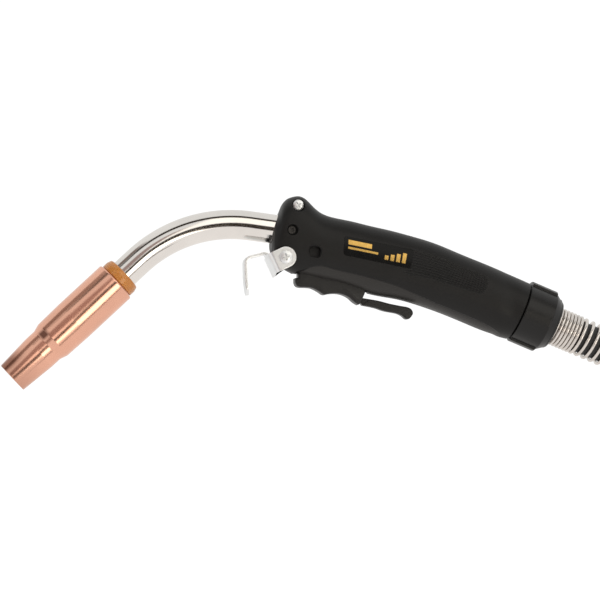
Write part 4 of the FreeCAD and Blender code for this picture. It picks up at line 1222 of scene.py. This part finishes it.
# ------------------------------------------------------------------ hanger hook
HOOK_UP = np.array([-5.7, 0, 12.2])
HOOK_UP /= np.linalg.norm(HOOK_UP)
HOOK_AHEAD = upright(HOOK_UP)
HOOK_HUB = np.array([HOOK_SCREW[0], 0, HOOK_SCREW[1]])
EAR_Y = STRAP_INNER_Y + STRAP_THICK / 2      # centre of the ears' thickness
STRAP_HALF = 6.7                             # half width of the strap
STRAP_BEND_R = 2.6                           # centre-line radius
STRAP_AHEAD = 8.0 + STRAP_THICK / 2          # front plate, ahead of the screw
EAR_LEN = STRAP_AHEAD - STRAP_BEND_R + STRAP_HALF
BEND_LEN = STRAP_BEND_R * math.pi / 2
PLATE_LEN = 2 * (EAR_Y - STRAP_BEND_R)
STRAP_LEN = 2 * EAR_LEN + STRAP_BEND_R * math.pi + PLATE_LEN
FAR_EAR_SLANT = math.tan(math.radians(12.0))


def strap_mid(s):
    """(ahead, y) of the strap's centre line, s along it from the near ear's round end."""
    bend_ahead = STRAP_AHEAD - STRAP_BEND_R
    bend_y = EAR_Y - STRAP_BEND_R
    if s < EAR_LEN:
        return np.array((s - STRAP_HALF, -EAR_Y))
    s -= EAR_LEN
    if s < BEND_LEN:
        w = s / STRAP_BEND_R
        return np.array((bend_ahead + STRAP_BEND_R * math.sin(w),
                         -bend_y - STRAP_BEND_R * math.cos(w)))
    s -= BEND_LEN
    if s < PLATE_LEN:
        return np.array((STRAP_AHEAD, -bend_y + s))
    s -= PLATE_LEN
    if s < BEND_LEN:
        w = s / STRAP_BEND_R
        return np.array((bend_ahead + STRAP_BEND_R * math.cos(w),
                         bend_y + STRAP_BEND_R * math.sin(w)))
    s -= BEND_LEN
    return np.array((bend_ahead - s, EAR_Y))


def rounded_width(from_end, half_width, radius):
    """Half width of a strip whose end has corners of the given radius."""
    if from_end >= radius:
        return half_width
    return half_width - radius + math.sqrt(max(0, radius ** 2 - (radius - from_end) ** 2))


def slant(point):
    """Lower the strap ahead of the screw, more so towards the far side."""
    reach = max(0.0, float((point - HOOK_HUB) @ HOOK_AHEAD))
    share = float(smooth(point[1], -6.0, 15.0))
    return point - HOOK_UP * (reach * FAR_EAR_SLANT * share)


def strap():
    """U of strip: two round-ended ears joined by a plate ahead of the handle."""
    plate_start = EAR_LEN + BEND_LEN
    plate_end = STRAP_LEN - EAR_LEN - BEND_LEN
    far_ear = STRAP_LEN - EAR_LEN
    stops = np.concatenate([
        STRAP_HALF * (1 - np.cos(np.linspace(0.02, math.pi / 2, 16))),
        np.linspace(STRAP_HALF, EAR_LEN, 6)[1:],
        np.linspace(EAR_LEN, plate_start, 10)[1:],
        np.linspace(plate_start, plate_end, 24)[1:],
        np.linspace(plate_end, far_ear, 10)[1:],
        np.linspace(far_ear, STRAP_LEN - STRAP_HALF, 6)[1:],
        STRAP_LEN - STRAP_HALF * (1 - np.cos(np.linspace(math.pi / 2, 0.02, 16)))[1:],
    ])
    across = np.linspace(-1, 1, 25)
    outer, inner = [], []
    for s in stops:
        mid = strap_mid(s)
        if s + 0.01 > STRAP_LEN:
            d = mid - strap_mid(s - 0.01)
        else:
            d = strap_mid(s + 0.01) - mid
        d = d / np.linalg.norm(d)
        normal = np.array([d[1], -d[0]])
        half = rounded_width(min(s, STRAP_LEN - s), STRAP_HALF, STRAP_HALF)
        for sign, store in ((1, outer), (-1, inner)):
            ahead, y = mid + normal * sign * STRAP_THICK / 2
            store += [slant(HOOK_HUB + HOOK_AHEAD * ahead + Y_DIR * y + HOOK_UP * (u * half))
                      for u in across]
    return make("hook_strap", *sheet(outer, inner, len(stops), len(across)), MATS["zinc"])


def tongue():
    """Strip that rises from the front plate, bends forward and hangs down."""
    half_width, thick, corner_r = 7.0, 1.8, 5.0
    plate = HOOK_HUB + HOOK_AHEAD * STRAP_AHEAD
    start = plate + HOOK_UP * (STRAP_HALF - 3.0)
    bend = plate + HOOK_UP * (STRAP_HALF + 1.3)
    corners = [np.array(c) for c in (start[[0, 2]], bend[[0, 2]], (147.0, 75.2),
                                     (147.3, 62.0), (148.6, 51.4))]
    line = [corners[0]]
    for i, radius in ((1, 2.2), (2, 4.2), (3, 30.0)):
        line += arc_corner(corners[i - 1], corners[i], corners[i + 1], radius, 10)
    line.append(corners[-1])
    line = np.array(densify(line, 0.8))
    arc = np.concatenate([[0], np.cumsum(np.linalg.norm(np.diff(line, axis=0), axis=1))])
    tangent = np.gradient(line, axis=0)
    tangent /= np.linalg.norm(tangent, axis=1)[:, None]
    length = arc[-1]
    round_end = 1 - np.sin(np.linspace(0, math.pi / 2 * 0.985, 12))
    stops = np.concatenate([arc[arc < length - corner_r], length - corner_r * round_end])
    across = np.linspace(-1, 1, 21)
    top, bottom = [], []
    for s in stops:
        x, z = np.interp(s, arc, line[:, 0]), np.interp(s, arc, line[:, 1])
        normal_x = np.interp(s, arc, -tangent[:, 1])
        normal_z = np.interp(s, arc, tangent[:, 0])
        half = rounded_width(length - s, half_width, corner_r)
        for sign, store in ((1, top), (-1, bottom)):
            store += [(x + sign * normal_x * thick / 2, u * half,
                       z + sign * normal_z * thick / 2) for u in across]
    return make("tongue", *sheet(top, bottom, len(stops), len(across)), MATS["zinc"])


def hanger_hook():
    hook = strap()
    for y0, y1 in ((-20, -14), (14, 20)):
        boolean(hook, turned("cut", HOOK_SCREW, [(y0, 2.1), (y1, 2.1)], segs=32))
    boolean(hook, tongue(), "UNION")
    bevel = hook.modifiers.new("bev", "BEVEL")
    bevel.width = 0.0003
    bevel.segments = 2
    bevel.limit_method = "ANGLE"
    bevel.angle_limit = math.radians(50)
    swap_mesh(hook, modified_mesh(hook))
    finish_mesh(hook, MATS["zinc"], 45)
    register(hook, "hanger_hook", "hook")


hanger_hook()


# ------------------------------------------------------------------ screws and nuts
def pan_head(name, centre, seat_y, radius, height, end_y, node, turn):
    """Plain shank along +Y and a domed head on the near side with a cross recess."""
    shank = 2.0
    profile = [(end_y, shank * 0.86), (end_y - 0.5, shank), (seat_y, shank),
               (seat_y, radius - 0.15), (seat_y - 0.15, radius)]
    for k in range(8):
        a = (math.pi / 2) * k / 8
        r = radius - 1.1 * (1 - math.cos(a)) if k < 4 else radius * math.cos(a) ** 0.62
        profile.append((seat_y - height * 0.38 - height * 0.62 * math.sin(a), r))
    ob = turned(name, centre, profile, segs=96)
    x, z = centre
    top_y = seat_y - height
    slot_len, slot_width, slot_depth = radius * 0.62, radius * 0.115, height * 0.62
    for quarter in (0, 90):
        a = math.radians(turn + quarter)
        cos, sin = math.cos(a), math.sin(a)
        verts = []
        # y, length scale, width scale: the slot tapers inwards
        for y, long, wide in ((top_y - 0.6, 1.15, 1.0), (top_y + slot_depth, 0.55, 0.8)):
            for sx, sz in ((-1, -1), (1, -1), (1, 1), (-1, 1)):
                dx, dz = sx * slot_len * long, sz * slot_width * wide
                verts.append((x + dx * cos - dz * sin, y, z + dx * sin + dz * cos))
        faces = [(0, 1, 2, 3), (7, 6, 5, 4)] + band_faces(2, 4, flip=True)
        boolean(ob, make("cut", verts, faces))
    finish_mesh(ob, MATS["zinc"], 32)
    register(ob, node)


def hex_nut(name, centre, y0, node):
    y1 = y0 + NUT_HEIGHT
    corners = [(x, z, 0.25) for x, z in hexagon(centre, NUT_ACROSS)]
    ob = soft_prism(name, rounded_loop(corners, 3), (y0, y1), edge_r=0.35, layers=3)
    boolean(ob, turned("cut", centre, [(y0 - 1, 2.02), (y1 + 1, 2.02)], segs=40))
    finish_mesh(ob, MATS["zinc"], 35)
    register(ob, node)


pan_head("lug_bolt", LUG_SCREW, seat_y=LUG_HEAD_SEAT_Y, radius=3.7, height=2.2, end_y=12.4,
         node="lug_screw", turn=35)
pan_head("strap_bolt", HOOK_SCREW, seat_y=-STRAP_OUTER_Y, radius=4.1, height=2.3, end_y=21.6,
         node="hook_screw", turn=12)
hex_nut("strap_nut", HOOK_SCREW, STRAP_OUTER_Y, "hook_nut")
hex_nut("lug_hexnut", LUG_SCREW, LUG_NUT_Y, "lug_nut")

# ------------------------------------------------------------------ CAD pieces kept as they are
KEPT_NODES = {
    "contact_tip": "tip", "gas_diffuser": "brass", "tube_core": "copper_soft",
    "tube_insulation": "sleeve", "wire_liner": "steel", "cable_connector": "brass_rear",
    "connector_screw_1": "steel_dark", "connector_screw_2": "steel_dark",
    "cable_terminal": "copper_soft", "gas_hose": "hose", "cable_gland": "alu",
    "tube_lock_screw": "steel_dark", "trigger_pin": "steel", "trigger_switch": "switch",
    "switch_plunger": "red", "trigger_lead_1": "lead_white", "trigger_lead_2": "lead_blue",
}
for node_name, mat_key in KEPT_NODES.items():
    kept = NODES[node_name].data
    kept.materials.clear()
    kept.materials.append(MATS[mat_key])
    for polygon in kept.polygons:
        polygon.material_index = 0

# ------------------------------------------------------------------ floor, world, light, camera
scene = bpy.context.scene


def studio_floor():
    """White floor; the camera also sees it glow, other rays get the plain surface."""
    g = Surface("studio_floor")
    g.set(Base_Color=(0.92, 0.92, 0.92), Roughness=0.9, Specular_IOR_Level=0.1)
    glow = g.new("ShaderNodeEmission")
    glow.inputs["Color"].default_value = (1, 1, 1, 1)
    glow.inputs["Strength"].default_value = 0.80
    both = g.new("ShaderNodeAddShader")
    g.link(g.bsdf.outputs[0], both.inputs[0])
    g.link(glow.outputs[0], both.inputs[1])
    choose = g.new("ShaderNodeMixShader")
    g.link(g.new("ShaderNodeLightPath").outputs["Is Camera Ray"], choose.inputs[0])
    g.link(g.bsdf.outputs[0], choose.inputs[1])
    g.link(both.outputs[0], choose.inputs[2])
    g.link(choose.outputs[0], g.tree.nodes["Material Output"].inputs["Surface"])
    return g.mat


def add_floor():
    half, z = 14.0, -0.098      # metres
    mesh = bpy.data.meshes.new("floor")
    corners = [(-half, -half, z), (half, -half, z), (half, half, z), (-half, half, z)]
    mesh.from_pydata(corners, [], [(0, 1, 2, 3)])
    floor = bpy.data.objects.new("floor", mesh)
    scene.collection.objects.link(floor)
    mesh.materials.append(studio_floor())
    floor.visible_glossy = False
    floor.visible_diffuse = False
    floor.visible_transmission = False


# Patches of the surroundings: azimuth range, elevation range, edge softness, colour.
# Degrees; azimuth 0 is straight towards -Y.
SKY_PATCHES = [
    (-38, -4, -17, 10, 4, (0.25, 0.185, 0.17)),
    (-33, -3.5, 6, 29, 4, (0.36, 0.265, 0.245)),
    (-5, 38, -20, 9, 3, (0.036, 0.028, 0.022)),
    (-15, 0.0, -6, 7, 3, (1.5, 1.4, 1.3)),
    (-3.5, 60, 11.5, 58, 3, (1.42, 1.36, 1.26)),
    (11.5, 33, -24, -1.5, 3, (3.3, 3.1, 2.75)),
    (33.5, 38.5, -40, -12, 2, (0.12, 0.09, 0.075)),
    (-95, -62, 34, 56, 6, (0.22, 0.17, 0.15)),
]


def add_world():
    """Painted surroundings for lighting and reflections; plain white to the camera."""
    world = bpy.data.worlds.new("studio")
    scene.world = world
    world.use_nodes = True
    g = Graph(world.node_tree)
    g.tree.nodes.clear()

    def step(value, edge, soft):
        return g.calc("DIVIDE", g.sub(value, edge - soft / 2), soft, True)

    def window(value, lo, hi, soft):
        return g.mul(step(value, lo, soft), g.sub(1.0, step(value, hi, soft), True))

    def degrees(operation, *args):
        return g.mul(g.calc(operation, *args), 180 / math.pi)

    x, y, z = g.separate(g.new("ShaderNodeTexCoord").outputs["Generated"])
    azimuth = degrees("ARCTAN2", x, g.mul(y, -1.0))
    elevation = degrees("ARCSINE", z)
    tilt = degrees("ARCTAN2", z, g.mul(y, -1.0))     # turn about the X axis
    low = g.sub(1.0, step(elevation, -8.0, 24.0), True)
    colour = g.mix(low, (0.87, 0.865, 0.85), (0.96, 0.93, 0.905))
    for az0, az1, el0, el1, soft, patch in SKY_PATCHES:
        mask = g.mul(window(azimuth, az0, az1, soft), window(elevation, el0, el1, soft))
        colour = g.mix(mask, colour, patch)
    strip = g.mul(window(tilt, 52.0, 69.0, 3.0), window(x, -0.60, 0.60, 0.1))
    colour = g.mix(strip, colour, (0.04, 0.032, 0.026))

    choose = g.new("ShaderNodeMixShader")
    g.link(g.new("ShaderNodeLightPath").outputs["Is Camera Ray"], choose.inputs[0])
    for slot, (tint, strength) in ((1, (colour, 1.0)), (2, ((1.0, 1.0, 1.0), 1.05))):
        background = g.new("ShaderNodeBackground")
        g.fill(background.inputs[0], tint)
        background.inputs[1].default_value = strength
        g.link(background.outputs[0], choose.inputs[slot])
    g.link(choose.outputs[0], g.new("ShaderNodeOutputWorld").inputs["Surface"])


def add_key_light():
    """Soft rectangle above the torch, aimed at its middle (metres, watts)."""
    light = bpy.data.lights.new("key_top", "AREA")
    light.shape = "RECTANGLE"
    light.size = 1.5
    light.size_y = 0.8
    light.energy = 2.5
    light.color = (1, 1, 1)
    key = bpy.data.objects.new("key_top", light)
    scene.collection.objects.link(key)
    key.location = (0.10, -0.55, 1.25)
    aim = Vector((0.22, 0.0, 0.05)) - Vector((0.10, -0.55, 1.25))
    key.rotation_euler = aim.to_track_quat("-Z", "Y").to_euler()
    key.visible_camera = False
    # lamps leave no highlight; reflections come from the world
    for ob in bpy.data.objects:
        if ob.type == "LIGHT":
            ob.visible_glossy = False


def add_camera():
    """Level camera on the -Y side."""
    data = bpy.data.cameras.new("camera")
    data.sensor_width = 36.0
    data.lens = 138.4614
    data.clip_end = 60.0
    camera = bpy.data.objects.new("camera", data)
    scene.collection.objects.link(camera)
    back = Vector((-0.12175335, -0.99160147, -0.04361939))
    right = Vector((0, 0, 1)).cross(back).normalized()
    turn = Matrix((right, back.cross(right), back)).transposed().to_4x4()
    camera.matrix_world = Matrix.Translation((0.00052183, -1.4874022, -0.0168365)) @ turn
    scene.camera = camera


add_floor()
add_world()
add_key_light()
add_camera()
scene.view_settings.view_transform = "Standard"
scene.view_settings.look = "None"
scene.view_settings.exposure = 0.0
